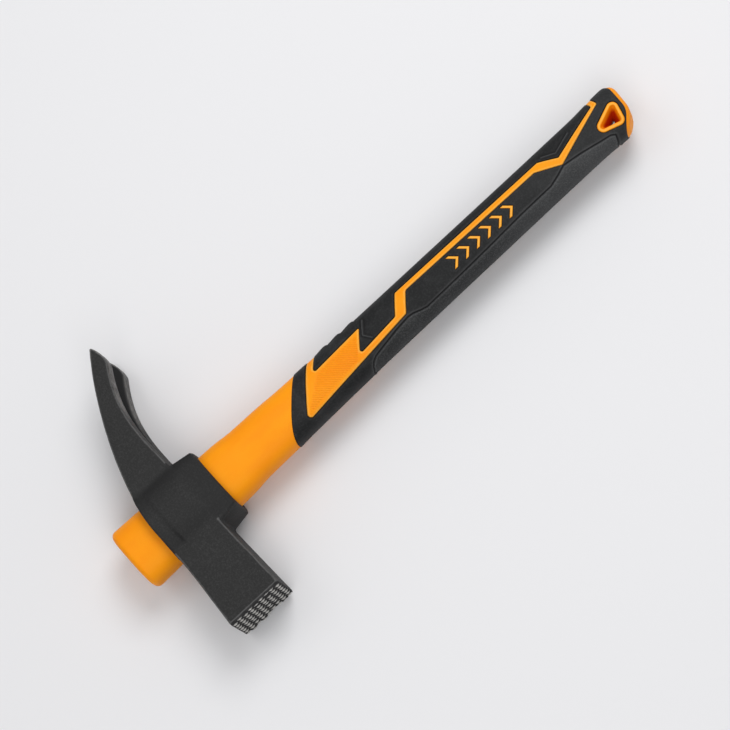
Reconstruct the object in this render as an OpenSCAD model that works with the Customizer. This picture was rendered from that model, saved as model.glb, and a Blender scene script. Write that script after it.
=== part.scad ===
// Formwork claw hammer: a forged head with a split claw and a milled face, seated
// on a tapered two-material handle with a fibreglass core.
// The hammer lies on its side. +X runs along the handle to the butt, +Y to the claw,
// -Y to the striking face, and +Z up. The origin is under the middle of its box.

/* [Head] */
// Height of the head's top above the handle's stub end, at the eye
stub_out = 18.5; // [14:0.5:24]
// Distance from the handle's axis to the tips of the milled teeth
poll_reach = 60.5; // [50:0.5:75]
// Distance from the handle's axis to the tip of the claw
claw_reach = 88.3; // [72:0.1:106]
// Distance that the claw's tip curves down towards the grip
claw_drop = 34.6; // [28:0.1:42]
// Width of the head across its cheeks
head_w = 30; // [26:0.5:36]
// Width of the claw across its tips
claw_w = 37; // [34:0.5:44]
// Depth of the striking face, along the handle
face_d = 30; // [26:0.5:36]
// Distance that the striking face stands above the eye's top
face_lead = 2.4; // [0:0.1:5]
// Depth of the poll and of the claw's root where they meet the eye
neck_d = 26; // [23:0.5:31]

/* [Eye] */
// Length of the eye, from the head's top to the collar's end
eye_len = 36.8; // [30:0.1:46]
// Height that the eye's cheeks bulge out of the flat cheeks
bulge_h = 3; // [1:0.5:5]
// Half width of the bulge, between its creases
bulge_half = 17; // [14:0.5:20]
// Distance that the bulge's middle lies towards the claw
bulge_off = 2; // [0:0.5:3]
// Wall of the collar's cheeks at its end
collar_wall = 4; // [3:0.1:6]
// Wall of the collar's narrow sides at its end
collar_side = 2; // [1.5:0.1:5]
// Flare of the collar where it runs into the head
collar_flare = 3; // [1:0.5:5]
// Rise of the collar's cheeks towards the eye's bulge
collar_rise = 1.8; // [0:0.1:2.4]
// Thickness of the bonding layer between the eye and the handle
bond_gap = 0.4; // [0.2:0.1:0.8]

/* [Nail slot] */
// Distance from the handle's axis to the slot's closed end
slot_root = 28; // [24:0.5:40]
// Radius of the slot's closed end
slot_root_r = 1.2; // [0.8:0.1:2]
// Width of the slot at its mouth, at the claw's tip
slot_mouth = 22; // [14:0.5:24]

/* [Milled face] */
// Pitch of the teeth along the handle
tooth_pitch_x = 3.3; // [2.6:0.1:4.2]
// Pitch of the teeth across the face
tooth_pitch_z = 4.2; // [3.4:0.1:5.2]
// Depth of the grooves between the teeth
tooth_depth = 1.5; // [0.8:0.1:2]
// Width of the flat worn top left on each tooth
tooth_land = 0.5; // [0.3:0.1:1]

/* [Handle] */
// Length of the handle from its stub end to its butt
handle_len = 319; // [300:1:390]
// Half width and half thickness of the handle at its stub end
stub_half = [16.9, 12]; // [8:0.1:20]
// Half width and half thickness where the handle leaves the eye
eye_half = [15.4, 11.3]; // [8:0.1:20]
// Half width and half thickness of the neck
neck_half = [14, 10.6]; // [8:0.1:20]
// Half width and half thickness at the front of the grip
front_half = [12.7, 9.8]; // [8:0.1:20]
// Half width and half thickness along the grip
grip_half = [11.8, 9.6]; // [8:0.1:20]
// Half width and half thickness at the butt
butt_half = [12.8, 9.8]; // [8:0.1:20]
// Squareness of the handle's section, where 2 is an ellipse
section_n = 2.5; // [2:0.1:3.5]
// Radius of the edge round the stub end
stub_edge = 3; // [1:0.5:5]
// Diameter of the fibreglass core
core_d = 11; // [8:0.1:14]
// Cover of plastic over the core's front end
core_cover = 6; // [3:0.5:12]
// Length of solid plastic between the core and the hang hole
core_stop = 11; // [5:0.5:30]

/* [Grip] */
// Depth of the recess in the jacket that the soft grip fills
recess = 1.3; // [0.8:0.1:1.8]
// Height that the soft grip stands proud of the jacket
proud = 0.35; // [0.1:0.05:0.8]
// Distance from the stub end to the grip's front edge
grip_start = 94; // [86:0.1:114]
// Width of the slanted collar at the grip's front
collar_w = 10; // [7:0.5:14]
// Width of the stripe between the two soft pieces
stripe_w = 3; // [2:0.1:4]
// Width of the hard band left bare round the butt
butt_band = 1.9; // [1:0.1:3]

/* [Hang hole] */
// Length of the hang hole
hole_len = 14.4; // [10:0.1:15]
// Height of the hang hole at its wide end
hole_h = 9.4; // [7:0.1:10]
// Radius of the hang hole's corners
hole_r = 1.2; // [0.8:0.1:2]
// Distance from the hang hole's wide end to the butt
hole_end = 5.8; // [5:0.1:10]
// Width of the hard rim round the hang hole
hole_rim = 1.9; // [1:0.1:3]

/* [Marks] */
// Number of chevrons on each side of the grip
mark_count = 6; // [3:1:7]
// Pitch of the chevrons
mark_pitch = 7; // [6:0.5:8]
// Height of the chevrons
mark_h = 7; // [4:0.5:8]
// Stroke of the chevrons
mark_stroke = 1.8; // [1:0.1:2.5]
// Distance from the stub end to the first chevron
mark_start = 205.5; // [195:0.5:212]

/* [Hidden] */

sides = 32;
curve_steps = 12;
corner_steps = 4;
over = 0.5;
cheek = head_w / 2;
claw_half = claw_w / 2;
bulge_top = cheek + bulge_h;
rest_h = max(bulge_top, claw_half);
reach_max = 2 * claw_reach;
collar_end = stub_out + eye_len;
hole_tip = handle_len - hole_end - hole_len;
core_end = hole_tip - core_stop;
// The grip's pattern keeps its own lengths at its two ends and stretches between them
butt_shift = handle_len - 319;
front_shift = grip_start - 94;

// The handle's stations: distance from the stub end, half width and half thickness
neck_at = 22;
stub_rings = [for (a = [0:22.5:90]) [
    stub_edge * (1 - sin(a)),
    stub_half.x - stub_edge * (1 - cos(a)),
    stub_half.y - stub_edge * (1 - cos(a))]];
stations = [
    for (i = [len(stub_rings) - 1:-1:0]) stub_rings[i],
    at(collar_end, eye_half),
    at(collar_end + 0.5 * neck_at, 0.6 * eye_half + 0.4 * neck_half),
    at(collar_end + neck_at, neck_half),
    at(grip_start, 0.85 * neck_half + 0.15 * front_half),
    at(grip_start + 8, 0.45 * neck_half + 0.55 * front_half),
    at(grip_start + 36, front_half),
    at(grip_start + 58, 0.6 * front_half + 0.4 * grip_half),
    at(200, 0.3 * front_half + 0.7 * grip_half),
    at(handle_len - 59, grip_half),
    at(handle_len - 24, grip_half),
    at(handle_len - 10, 0.1 * grip_half + 0.9 * butt_half),
    at(handle_len - 4, [butt_half.x, butt_half.y - 0.4]),
    at(handle_len + over, [butt_half.x, butt_half.y - 2.6])];

// One station from a distance and a pair of half sizes
function at(x, half) = [x, half.x, half.y];

// A cubic curve through four control points
function bezier(a, b, c, d, steps = curve_steps) = [for (i = [0:steps])
    let (t = i / steps, s = 1 - t)
    s * s * s * a + 3 * s * s * t * b + 3 * s * t * t * c + t * t * t * d];

// An outline whose corners [x, y, radius] are rounded by arcs
function rounded(corners) = [for (i = [0:len(corners) - 1])
    let (
        n = len(corners),
        c = corners[i],
        p = [c.x, c.y],
        before = corners[(i + n - 1) % n],
        after = corners[(i + 1) % n],
        u = unit([before.x, before.y] - p),
        v = unit([after.x, after.y] - p),
        half = acos(max(-1, min(1, u * v))) / 2,
        centre = p + unit(u + v) * c[2] / sin(half),
        from = p + u * c[2] / tan(half) - centre,
        to = p + v * c[2] / tan(half) - centre)
    each c[2] == 0 ? [p] : [for (k = [0:corner_steps])
        let (t = k / corner_steps, way = (1 - t) * from + t * to)
        centre + c[2] * unit(way)]];

function unit(v) = v / norm(v);

// One ring of a section: a superellipse in the plane across X
function ring(x, w, h) = [for (i = [0:sides - 1])
    let (a = 360 * (i + 0.5) / sides, k = 2 / section_n)
    [x, w * sign(cos(a)) * pow(abs(cos(a)), k), h * sign(sin(a)) * pow(abs(sin(a)), k)]];

// A closed solid through a list of stations, grown all round by a distance
module loft(list, grow = 0) {
    last = len(list) - 1;
    polyhedron(
        points = [for (s = list) each ring(s[0], s[1] + grow, s[2] + grow)],
        faces = [
            [for (i = [0:sides - 1]) i],
            [for (i = [sides - 1:-1:0]) last * sides + i],
            for (j = [0:last - 1], i = [0:sides - 1]) let (
                a = j * sides + i,
                b = j * sides + (i + 1) % sides)
                each [[a, a + sides, b], [b, a + sides, b + sides]]]);
}

// An outline in the side view, made a prism through the whole thickness
module through() linear_extrude(4 * rest_h, center = true) children();

// ---- Head ----

// The head's side outline, from the eye's top at the handle's axis
module head_outline() {
    polygon([
        each bezier([0, 0], [0, claw_reach / 3], [claw_drop - 14.3, claw_reach - 18.8],
            [claw_drop, claw_reach]),
        each bezier([claw_drop + 0.2, claw_reach - 0.5], [claw_drop + 1.7, claw_reach - 3],
            [claw_drop + 2.8, claw_reach - 7], [claw_drop + 2, claw_reach - 11.1], 5),
        each bezier([claw_drop + 1.9, claw_reach - 11.6], [neck_d, claw_reach - 28.3],
            [neck_d - 2, claw_reach / 2 + 4], [neck_d - 0.8, 24]),
        [neck_d + 0.4, -24],
        [face_d - face_lead, -poll_reach],
        each bezier([-face_lead, -poll_reach], [-face_lead / 2, -poll_reach * 0.6],
            [0, -poll_reach * 0.58], [0, -5], 6)]);
}

// The head's outline as seen along the handle, with the flared claw and its slot
module head_plan() {
    flare_end = claw_reach - 11;
    root = [slot_root + slot_root_r, slot_root_r];
    polygon([
        [-poll_reach, -cheek], [slot_root, -cheek], [flare_end, -claw_half],
        [claw_reach + over, -claw_half + 0.5], [claw_reach + over, -slot_mouth / 2],
        [root.x, -root.y],
        for (a = [-60:30:60]) [root.x - slot_root_r * cos(a), root.y * sin(a)],
        [root.x, root.y],
        [claw_reach + over, slot_mouth / 2], [claw_reach + over, claw_half - 0.5],
        [flare_end, claw_half], [slot_root, cheek], [-poll_reach, cheek]]);
}

// The eye's bulged cheeks: a lens of two cylinders along the handle, which dips
// under the flat cheeks past its creases
module eye_bulge() {
    lens_r = (bulge_half * bulge_half + bulge_h * bulge_h) / (2 * bulge_h);
    intersection() {
        through() head_outline();
        union() {
            lens_half(lens_r, 1);
            lens_half(lens_r, -1);
        }
    }
}

// The half of the lens on one side of the middle plane
module lens_half(lens_r, side) {
    dip = 2;
    half = bulge_half + dip;
    translate([-reach_max / 2, bulge_off, 0])
        intersection() {
            translate([0, 0, side * (bulge_top - lens_r)])
                rotate([0, 90, 0])
                    cylinder(h = reach_max, r = lens_r, $fn = 180);
            translate([0, -half, side > 0 ? 0 : -bulge_top - over])
                cube([reach_max, 2 * half, bulge_top + over]);
        }
}

// The collar round the handle on the grip's side of the eye
module eye_collar() {
    collar_edge = 0.6;
    w = eye_half.x + collar_side;
    h = eye_half.y + collar_wall;
    loft([
        [12, w + collar_flare, h + collar_rise],
        [neck_d + 1, w + collar_flare, h + collar_rise],
        [neck_d + 3.5, w + 1.4, h + 0.75 * collar_rise],
        [eye_len - collar_edge, w, h],
        [eye_len, w - collar_edge, h - collar_edge]]);
}

// Crossed V grooves that leave rows of pyramids on the striking face
module milling() {
    diagonal = norm([tooth_pitch_x, tooth_pitch_z / 2]);
    spacing = tooth_pitch_x * tooth_pitch_z / diagonal;
    angle = atan(tooth_pitch_z / 2 / tooth_pitch_x);
    span = face_d + head_w;
    rows = ceil(span / 2 / spacing);
    half = (spacing - tooth_land) / 2;
    slope = half / tooth_depth;
    translate([face_d / 2 - face_lead, -poll_reach, 0])
        rotate([-90, 0, 0])
            for (side = [-1, 1], i = [-rows:rows])
                rotate([0, 0, side * angle])
                    translate([0, (i + 0.5) * spacing, 0])
                        rotate([90, 0, 90])
                            linear_extrude(2 * span, center = true)
                                polygon([
                                    [-half - slope * over, -over],
                                    [half + slope * over, -over],
                                    [0, tooth_depth]]);
}

module hammer_head() {
    color("#3c3d3e")
        difference() {
            translate([stub_out, 0, 0])
                difference() {
                    union() {
                        intersection() {
                            through() head_outline();
                            rotate([90, 0, 90])
                                linear_extrude(reach_max, center = true) head_plan();
                        }
                        eye_bulge();
                        eye_collar();
                    }
                    milling();
                }
            eye_taper(bond_gap);
        }
}

// The stretch of the handle that the eye seats on, grown all round
module eye_taper(grow) {
    loft([for (s = stations) if (s[0] >= stub_edge && s[0] < collar_end + neck_at) s], grow);
}

module eye_bond() {
    inset = 2.5;
    color("#c8b98a")
        intersection() {
            difference() {
                eye_taper(bond_gap);
                eye_taper(0);
            }
            translate([stub_out + inset, -reach_max / 2, -reach_max / 2])
                cube([eye_len - inset - 1, reach_max, reach_max]);
        }
}

// ---- Handle ----

module core_rod(length) {
    translate([core_cover, 0, 0])
        rotate([0, 90, 0])
            cylinder(h = length, d = core_d, $fn = 48);
}

module handle_core() {
    color("#d8d2b4")
        core_rod(core_end - core_cover);
}

// The whole handle's shape, grown or shrunk all round
module handle_form(grow) {
    intersection() {
        loft(stations, grow);
        through()
            translate([butt_shift, 0])
                polygon(rounded([
                    [-400, -30, 0], [290, -30, 0], [317, -5.7, 9],
                    [319.74, butt_half.x + 0.6, 4.5], [300, butt_half.x + 0.6, 0],
                    [280, 30, 0], [-400, 30, 0]]));
    }
}

// The hang hole's outline: a triangle with its tip towards the head
module hole_outline() {
    wide = hole_tip + hole_len;
    polygon(rounded([
        [hole_tip, -3.7, hole_r],
        [wide, 0.22 * hole_h, hole_r],
        [wide - 2.6, -0.78 * hole_h, hole_r]]));
}

module marks() {
    point = mark_h / 2;
    for (i = [0:mark_count - 1])
        translate([mark_start + i * mark_pitch, -1.8])
            polygon([
                [0, point], [mark_stroke, point], [mark_stroke + point, 0],
                [mark_stroke, -point], [0, -point], [point, 0]]);
}

// Outline of the long soft piece: the slanted collar, the palm side and the butt
module main_outline() {
    f = front_shift;
    b = butt_shift;
    difference() {
        polygon([
            each bezier([94 + f, -16], [96.5 + f, -8], [107 + f, 1.5], [119 + f, 16]),
            each rounded([
                [119 + f + collar_w - 2, 16, 0],
                [96 + f + collar_w, -10.6, 1.5],
                [174.5, -4.8, 1.5],
                [181.7, 3.9, 2],
                [263.5 + b, 2.9, 1.5],
                [276 + b, -3.7, 0.8],
                [308 + b, 7.2, 1.2],
                [306.3 + b, 16, 0],
                [314.8 - butt_band + b, 16, 0],
                [319.1 - butt_band + b, 9, 4],
                [318.1 - butt_band + b, -4.5, 7],
                [303 - butt_band + b, -20, 0],
                [94 + f, -20, 0]])]);
        offset(r = hole_rim) hole_outline();
        marks();
    }
}

// Outline of the soft island on the claw's side, a stripe's width from the long piece
module island_outline() {
    f = front_shift;
    b = butt_shift;
    s = stripe_w - 3;
    polygon(rounded([
        [132 + f, 16, 0],
        [123.2 + f, 5, 1],
        [153.8, 6.4, 0.5],
        [145.6, -4 + s, 1],
        [169.6, -2.2 + s, 1.5],
        [177, 6.9 + s, 1.5],
        [268 + b, 5.9 + s, 1],
        [277 + b, 0.3 + s, 0.8],
        [304.8 + b, 8.2 + s, 1],
        [303.2 + b, 16, 0]]));
}

module handle_jacket() {
    color("#f7941d")
        difference() {
            handle_form(0);
            difference() {
                through() {
                    main_outline();
                    island_outline();
                }
                handle_form(-recess);
            }
            core_rod(core_end - core_cover);
            through() hole_outline();
        }
}

module soft_piece() {
    color("#2b2c2e")
        difference() {
            intersection() {
                handle_form(proud);
                through() children();
            }
            handle_form(-recess);
        }
}

module grip_main() soft_piece() main_outline();

module grip_island() soft_piece() island_outline();

// Moves the parts to the origin under the middle of the hammer's box
module placed()
    translate([-handle_len / 2, (poll_reach - claw_reach) / 2, rest_h]) children();

placed() hammer_head();
placed() eye_bond();
placed() handle_core();
placed() handle_jacket();
placed() grip_main();
placed() grip_island();
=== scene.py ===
"""Looks of a formwork claw hammer: a forged head with a milled face, on a two-material handle.

Every shape is worked out in millimetres in the handle's own frame: x from the stub end to the
butt, y from the handle's axis towards the claw, z from the middle plane up. `Bench` places it in
the row's frame, in metres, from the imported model's boxes.
"""

from __future__ import annotations

import logging
import math
from dataclasses import dataclass
from enum import Enum
from typing import Callable, Dict, List, Optional, Sequence, Tuple, Union

import bpy
import numpy as np
from mathutils import Matrix, Vector
from mathutils.geometry import delaunay_2d_cdt


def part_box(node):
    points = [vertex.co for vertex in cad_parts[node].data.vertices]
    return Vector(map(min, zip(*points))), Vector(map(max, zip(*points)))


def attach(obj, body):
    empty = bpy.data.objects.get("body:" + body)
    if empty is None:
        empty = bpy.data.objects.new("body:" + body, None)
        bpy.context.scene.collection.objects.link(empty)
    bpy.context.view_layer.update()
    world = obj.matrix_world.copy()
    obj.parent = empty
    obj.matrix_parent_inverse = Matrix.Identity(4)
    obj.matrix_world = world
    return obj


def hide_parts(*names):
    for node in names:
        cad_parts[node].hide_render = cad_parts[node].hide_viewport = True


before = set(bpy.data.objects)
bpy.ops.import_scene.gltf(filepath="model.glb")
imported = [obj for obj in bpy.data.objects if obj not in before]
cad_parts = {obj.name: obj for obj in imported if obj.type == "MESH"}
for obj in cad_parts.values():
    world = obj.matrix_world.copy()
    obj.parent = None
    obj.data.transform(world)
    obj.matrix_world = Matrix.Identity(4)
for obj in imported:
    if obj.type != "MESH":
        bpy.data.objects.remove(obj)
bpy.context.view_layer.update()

LOG = logging.getLogger("claw_hammer")
MM = 0.001
BODY = "root"
TINY = 1e-12
PAIRS_AT_ONCE = 4_000_000
Corner = Tuple[float, float, float]
Colour = Tuple[float, float, float, float]
Field = Callable[[np.ndarray], np.ndarray]
Layers = Dict[str, np.ndarray]


class Slot(Enum):
    """The record's material slots."""

    STEEL = "forged_steel"
    EPOXY = "epoxy"
    FIBRE = "fibreglass"
    ORANGE = "orange_plastic"
    SOFT = "soft_grip"


# ---------------------------------------------------------------- plane geometry


def unit(vectors: np.ndarray) -> np.ndarray:
    """Vectors scaled to length one along the last axis."""
    return vectors / np.maximum(np.linalg.norm(vectors, axis=-1, keepdims=True), TINY)


def bezier(controls: Sequence[Tuple[float, float]], steps: int) -> np.ndarray:
    """Points along a cubic curve, whose controls weigh (1-t)^3, 3(1-t)^2 t, 3(1-t) t^2 and t^3.

    Args:
        controls: four control points.
        steps: number of steps along the curve.

    Returns:
        steps + 1 points.
    """
    t = np.linspace(0.0, 1.0, steps + 1)[:, None]
    a, b, c, d = (np.asarray(p, float) for p in controls)
    s = 1.0 - t
    return s**3 * a + 3 * s * s * t * b + 3 * s * t * t * c + t**3 * d


def rounded(corners: Sequence[Corner], steps: int = 6) -> np.ndarray:
    """A closed outline whose corners (x, y, radius) are replaced by tangent arcs.

    The arc's centre lies on the corner's bisector, at radius / sin(half the corner's angle).

    Args:
        corners: corner points with the radius of each.
        steps: segments in each arc.

    Returns:
        The outline's points.
    """
    c = np.asarray(corners, float)
    points: List[np.ndarray] = []
    for before, here, after in zip(np.roll(c, 1, 0), c, np.roll(c, -1, 0)):
        if here[2] == 0:
            points.append(here[None, :2])
            continue
        u = unit(before[:2] - here[:2])
        v = unit(after[:2] - here[:2])
        half = math.acos(float(np.clip(u @ v, -1, 1))) / 2
        centre = here[:2] + unit(u + v) * here[2] / math.sin(half)
        start = here[:2] + u * here[2] / math.tan(half) - centre
        stop = here[:2] + v * here[2] / math.tan(half) - centre
        t = np.linspace(0, 1, steps + 1)[:, None]
        points.append(centre + here[2] * unit((1 - t) * start + t * stop))
    return np.vstack(points)


def resample(outline: np.ndarray, step: float, closed: bool = True) -> np.ndarray:
    """The same outline with points a fixed distance apart, its sharp corners kept.

    Args:
        outline: points of a polyline.
        step: the distance between the new points.
        closed: whether the last point joins the first.

    Returns:
        The new points.
    """
    ends = np.roll(outline, -1, 0) if closed else outline[1:]
    starts = outline if closed else outline[:-1]
    parts = []
    for a, b in zip(starts, ends):
        count = max(1, int(math.ceil(np.hypot(*(b - a)) / step)))
        t = np.arange(count)[:, None] / count
        parts.append(a + (b - a) * t)
    if not closed:
        parts.append(outline[-1:])
    return np.vstack(parts)


def batches(count: int, others: int) -> List[np.ndarray]:
    """Indices of so many points, in batches small enough to pair with every one of the others at once."""
    return np.array_split(np.arange(count), max(1, count * others // PAIRS_AT_ONCE))


def line_distance(points: np.ndarray, line: np.ndarray, closed: bool = False) -> np.ndarray:
    """Distance from each point to the nearest segment of a polyline.

    The foot of the perpendicular on each segment is held between the segment's two ends.

    Args:
        points: (N, 2) points.
        line: (M, 2) points of the polyline.
        closed: whether the last point joins the first.

    Returns:
        (N,) distances.
    """
    starts = line if closed else line[:-1]
    runs = (np.roll(line, -1, 0) if closed else line[1:]) - starts
    squares = np.maximum((runs**2).sum(1), TINY)
    best = np.full(len(points), np.inf)
    for batch in batches(len(points), len(starts)):
        gap = points[batch, None, :] - starts[None]
        t = np.clip((gap * runs[None]).sum(2) / squares[None], 0, 1)
        best[batch] = np.linalg.norm(gap - t[..., None] * runs[None], axis=2).min(1)
    return best


def inside(points: np.ndarray, outline: np.ndarray) -> np.ndarray:
    """Whether points lie in a closed outline, by counting the edges that a ray along +x crosses.

    Args:
        points: (N, 2) points.
        outline: (M, 2) points of the outline.

    Returns:
        (N,) booleans.
    """
    a, b = outline, np.roll(outline, -1, 0)
    result = np.zeros(len(points), bool)
    for batch in batches(len(points), len(a)):
        x, y = points[batch, 0, None], points[batch, 1, None]
        spans = (a[None, :, 1] > y) != (b[None, :, 1] > y)
        rise = np.where(b[:, 1] == a[:, 1], TINY, b[:, 1] - a[:, 1])
        cross = a[None, :, 0] + (y - a[None, :, 1]) * (b[:, 0] - a[:, 0])[None] / rise[None]
        result[batch] = (spans & (x < cross)).sum(1) % 2 == 1
    return result


def outline_distance(points: np.ndarray, outline: np.ndarray) -> np.ndarray:
    """Signed distance from (N, 2) points to a closed outline, negative inside."""
    distance = line_distance(points, outline, closed=True)
    return np.where(inside(points, outline), -distance, distance)


@dataclass
class DistanceMap:
    """A closed outline's signed distance, kept as a table and read between its four nearest points.

    Attributes:
        low: the table's lowest corner.
        step: the table's spacing.
        values: the distances.
    """

    low: np.ndarray
    step: float
    values: np.ndarray

    @classmethod
    def of(cls, outline: np.ndarray, margin: float = 12.0, step: float = 0.25) -> "DistanceMap":
        """Works out the table.

        Args:
            outline: the outline's points.
            margin: how far the table reaches past the outline.
            step: the table's spacing.

        Returns:
            The map.
        """
        low = outline.min(0) - margin
        axes = [np.arange(a, b + step, step) for a, b in zip(low, outline.max(0) + margin)]
        grid = np.stack(np.meshgrid(*axes, indexing="ij"), -1)
        return cls(low, step, outline_distance(grid.reshape(-1, 2), outline).reshape(grid.shape[:2]))

    def at(self, points: np.ndarray) -> np.ndarray:
        """Reads the distance, weighing the four nearest values by how near they are.

        Args:
            points: (..., 2) points.

        Returns:
            The distances, negative inside.
        """
        place = np.clip((points - self.low) / self.step, 0, np.array(self.values.shape) - 1.001)
        i, j = np.moveaxis(np.floor(place).astype(int), -1, 0)
        u, v = np.moveaxis(place - np.floor(place), -1, 0)
        near = self.values[i, j] * (1 - v) + self.values[i, j + 1] * v
        far = self.values[i + 1, j] * (1 - v) + self.values[i + 1, j + 1] * v
        return near * (1 - u) + far * u


def round_and(a: np.ndarray, b: np.ndarray, radius: float) -> np.ndarray:
    """Two fields' common solid with a rounded edge: their maximum, but a circle's arc near the edge."""
    corner = np.hypot(np.maximum(a + radius, 0), np.maximum(b + radius, 0))
    return np.minimum(np.maximum(a, b), -radius) + corner


def round_or(a: np.ndarray, b: np.ndarray, radius: float) -> np.ndarray:
    """Two fields' joined solid with a fillet: their minimum, but a circle's arc in the inner corner."""
    corner = np.hypot(np.maximum(radius - a, 0), np.maximum(radius - b, 0))
    return np.maximum(np.minimum(a, b), radius) - corner


def ease(t: np.ndarray) -> np.ndarray:
    """A smooth step: 3t^2 - 2t^3 with t held between 0 and 1."""
    t = np.clip(t, 0, 1)
    return t * t * (3 - 2 * t)


# ---------------------------------------------------------------- meshes


@dataclass(frozen=True)
class Bench:
    """Where the handle's own frame lies in the row's frame.

    Attributes:
        origin: the stub end on the handle's axis, in metres.
        length: the handle's length in mm.
        head_at: the head's top at the eye, in mm from the stub end.
    """

    origin: Tuple[float, float, float]
    length: float
    head_at: float

    @classmethod
    def from_frame(cls, face_lead: float) -> "Bench":
        """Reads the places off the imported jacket, core and head.

        Args:
            face_lead: how far the striking face stands above the eye's top, in mm.

        Returns:
            The bench.
        """
        low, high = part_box("handle_jacket")
        core_low, core_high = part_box("handle_core")
        head_low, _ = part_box("hammer_head")
        origin = (low.x, (core_low.y + core_high.y) / 2, (core_low.z + core_high.z) / 2)
        return cls(origin, (high.x - low.x) / MM, (head_low.x - low.x) / MM + face_lead)

    def place(self, points: np.ndarray) -> np.ndarray:
        """Points in mm in the handle's frame, moved to metres in the row's frame."""
        return points * MM + np.asarray(self.origin)


def grid_faces(rows: int, columns: int, wrap: bool) -> np.ndarray:
    """Quads between the neighbours of a grid stored row by row.

    Args:
        rows: number of rows.
        columns: number of columns.
        wrap: whether the last column joins the first.

    Returns:
        (M, 4) vertex indices.
    """
    j = np.arange(columns if wrap else columns - 1)
    i = np.arange(rows - 1)[:, None]
    a = i * columns + j
    b = i * columns + (j + 1) % columns
    return np.stack([a, b, b + columns, a + columns], -1).reshape(-1, 4)


def make_piece(
    name: str,
    bench: Bench,
    points: np.ndarray,
    faces: Sequence[np.ndarray],
    slot: Slot,
    material: bpy.types.Material,
    replaced: Sequence[str] = (),
    layers: Optional[Layers] = None,
) -> bpy.types.Object:
    """Makes a mesh piece from arrays, dresses it and gives it to the frame.

    Args:
        name: the piece's name.
        bench: where the handle's frame lies.
        points: (N, 3) vertices in mm in the handle's frame.
        faces: arrays of vertex indices, one array for each number of corners.
        slot: the record's slot that the finish belongs to.
        material: the finish.
        replaced: CAD nodes that the piece stands for.
        layers: named numbers for each vertex, read by the finish.

    Returns:
        The piece.
    """
    mesh = bpy.data.meshes.new(name)
    corners = np.concatenate([f.reshape(-1) for f in faces]).astype(np.int32)
    sizes = np.concatenate([np.full(len(f), f.shape[1]) for f in faces]).astype(np.int32)
    starts = np.concatenate([[0], np.cumsum(sizes)[:-1]]).astype(np.int32)
    mesh.vertices.add(len(points))
    mesh.vertices.foreach_set("co", bench.place(points).astype(np.float32).ravel())
    mesh.loops.add(len(corners))
    mesh.loops.foreach_set("vertex_index", corners)
    mesh.polygons.add(len(sizes))
    mesh.polygons.foreach_set("loop_start", starts)
    mesh.polygons.foreach_set("use_smooth", np.ones(len(sizes), bool))
    mesh.update(calc_edges=True)
    mesh.validate()
    for layer, values in (layers or {}).items():
        attribute = mesh.attributes.new(layer, "FLOAT", "POINT")
        attribute.data.foreach_set("value", values.astype(np.float32))
    piece = bpy.data.objects.new(name, mesh)
    bpy.context.scene.collection.objects.link(piece)
    mesh.materials.append(material)
    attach(piece, BODY)
    if replaced:
        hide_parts(*replaced)
    LOG.info("%s: %d vertices, %d faces, finish %s", name, len(points), len(sizes), slot.value)
    return piece


def surface_net(values: np.ndarray, low: np.ndarray, step: float) -> Tuple[np.ndarray, np.ndarray]:
    """Turns a field sampled on a box of cells into a closed skin of quads where it changes sign.

    Each cell that the skin crosses gets one vertex, the mean of the crossings on its twelve edges,
    and each grid edge that the skin crosses gets one quad between the four cells around it.

    Args:
        values: the field at the grid's points, negative inside.
        low: the grid's lowest corner.
        step: the grid's spacing.

    Returns:
        The vertices and the quads.
    """
    offsets = np.array([(i, j, k) for i in (0, 1) for j in (0, 1) for k in (0, 1)])
    shape = np.array(values.shape) - 1

    def corner(offset: np.ndarray) -> np.ndarray:
        """The field at one corner of every cell."""
        i, j, k = offset
        return values[i : i + shape[0], j : j + shape[1], k : k + shape[2]]

    total = np.zeros((*shape, 3))
    count = np.zeros(shape)
    for a in offsets:
        for axis in range(3):
            if a[axis] == 0:
                b = a.copy()
                b[axis] = 1
                va, vb = corner(a), corner(b)
                hit = (va < 0) != (vb < 0)
                t = np.where(hit, va / np.where(hit, va - vb, 1), 0)
                total += np.where(hit[..., None], a + (b - a) * t[..., None], 0)
                count += hit
    live = count > 0
    index = np.full(shape, -1)
    index[live] = np.arange(live.sum())
    cells = np.argwhere(live)
    points = low + (cells + total[live] / count[live][:, None]) * step
    quads = []
    for axis in range(3):
        u, v = (axis + 1) % 3, (axis + 2) % 3
        near = np.take(values, range(shape[axis]), axis)
        far = np.take(values, range(1, shape[axis] + 1), axis)
        at = np.argwhere((near < 0) != (far < 0))
        at = at[(at[:, u] > 0) & (at[:, v] > 0) & (at[:, u] < shape[u]) & (at[:, v] < shape[v])]
        du, dv = np.eye(3, dtype=int)[u], np.eye(3, dtype=int)[v]
        ring = np.stack([index[tuple((at - d).T)] for d in (du + dv, dv, 0 * du, du)], 1)
        outward = near[tuple(at.T)] < 0
        quads.append(np.where(outward[:, None], ring, ring[:, ::-1]))
    return points, np.vstack(quads)


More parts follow.
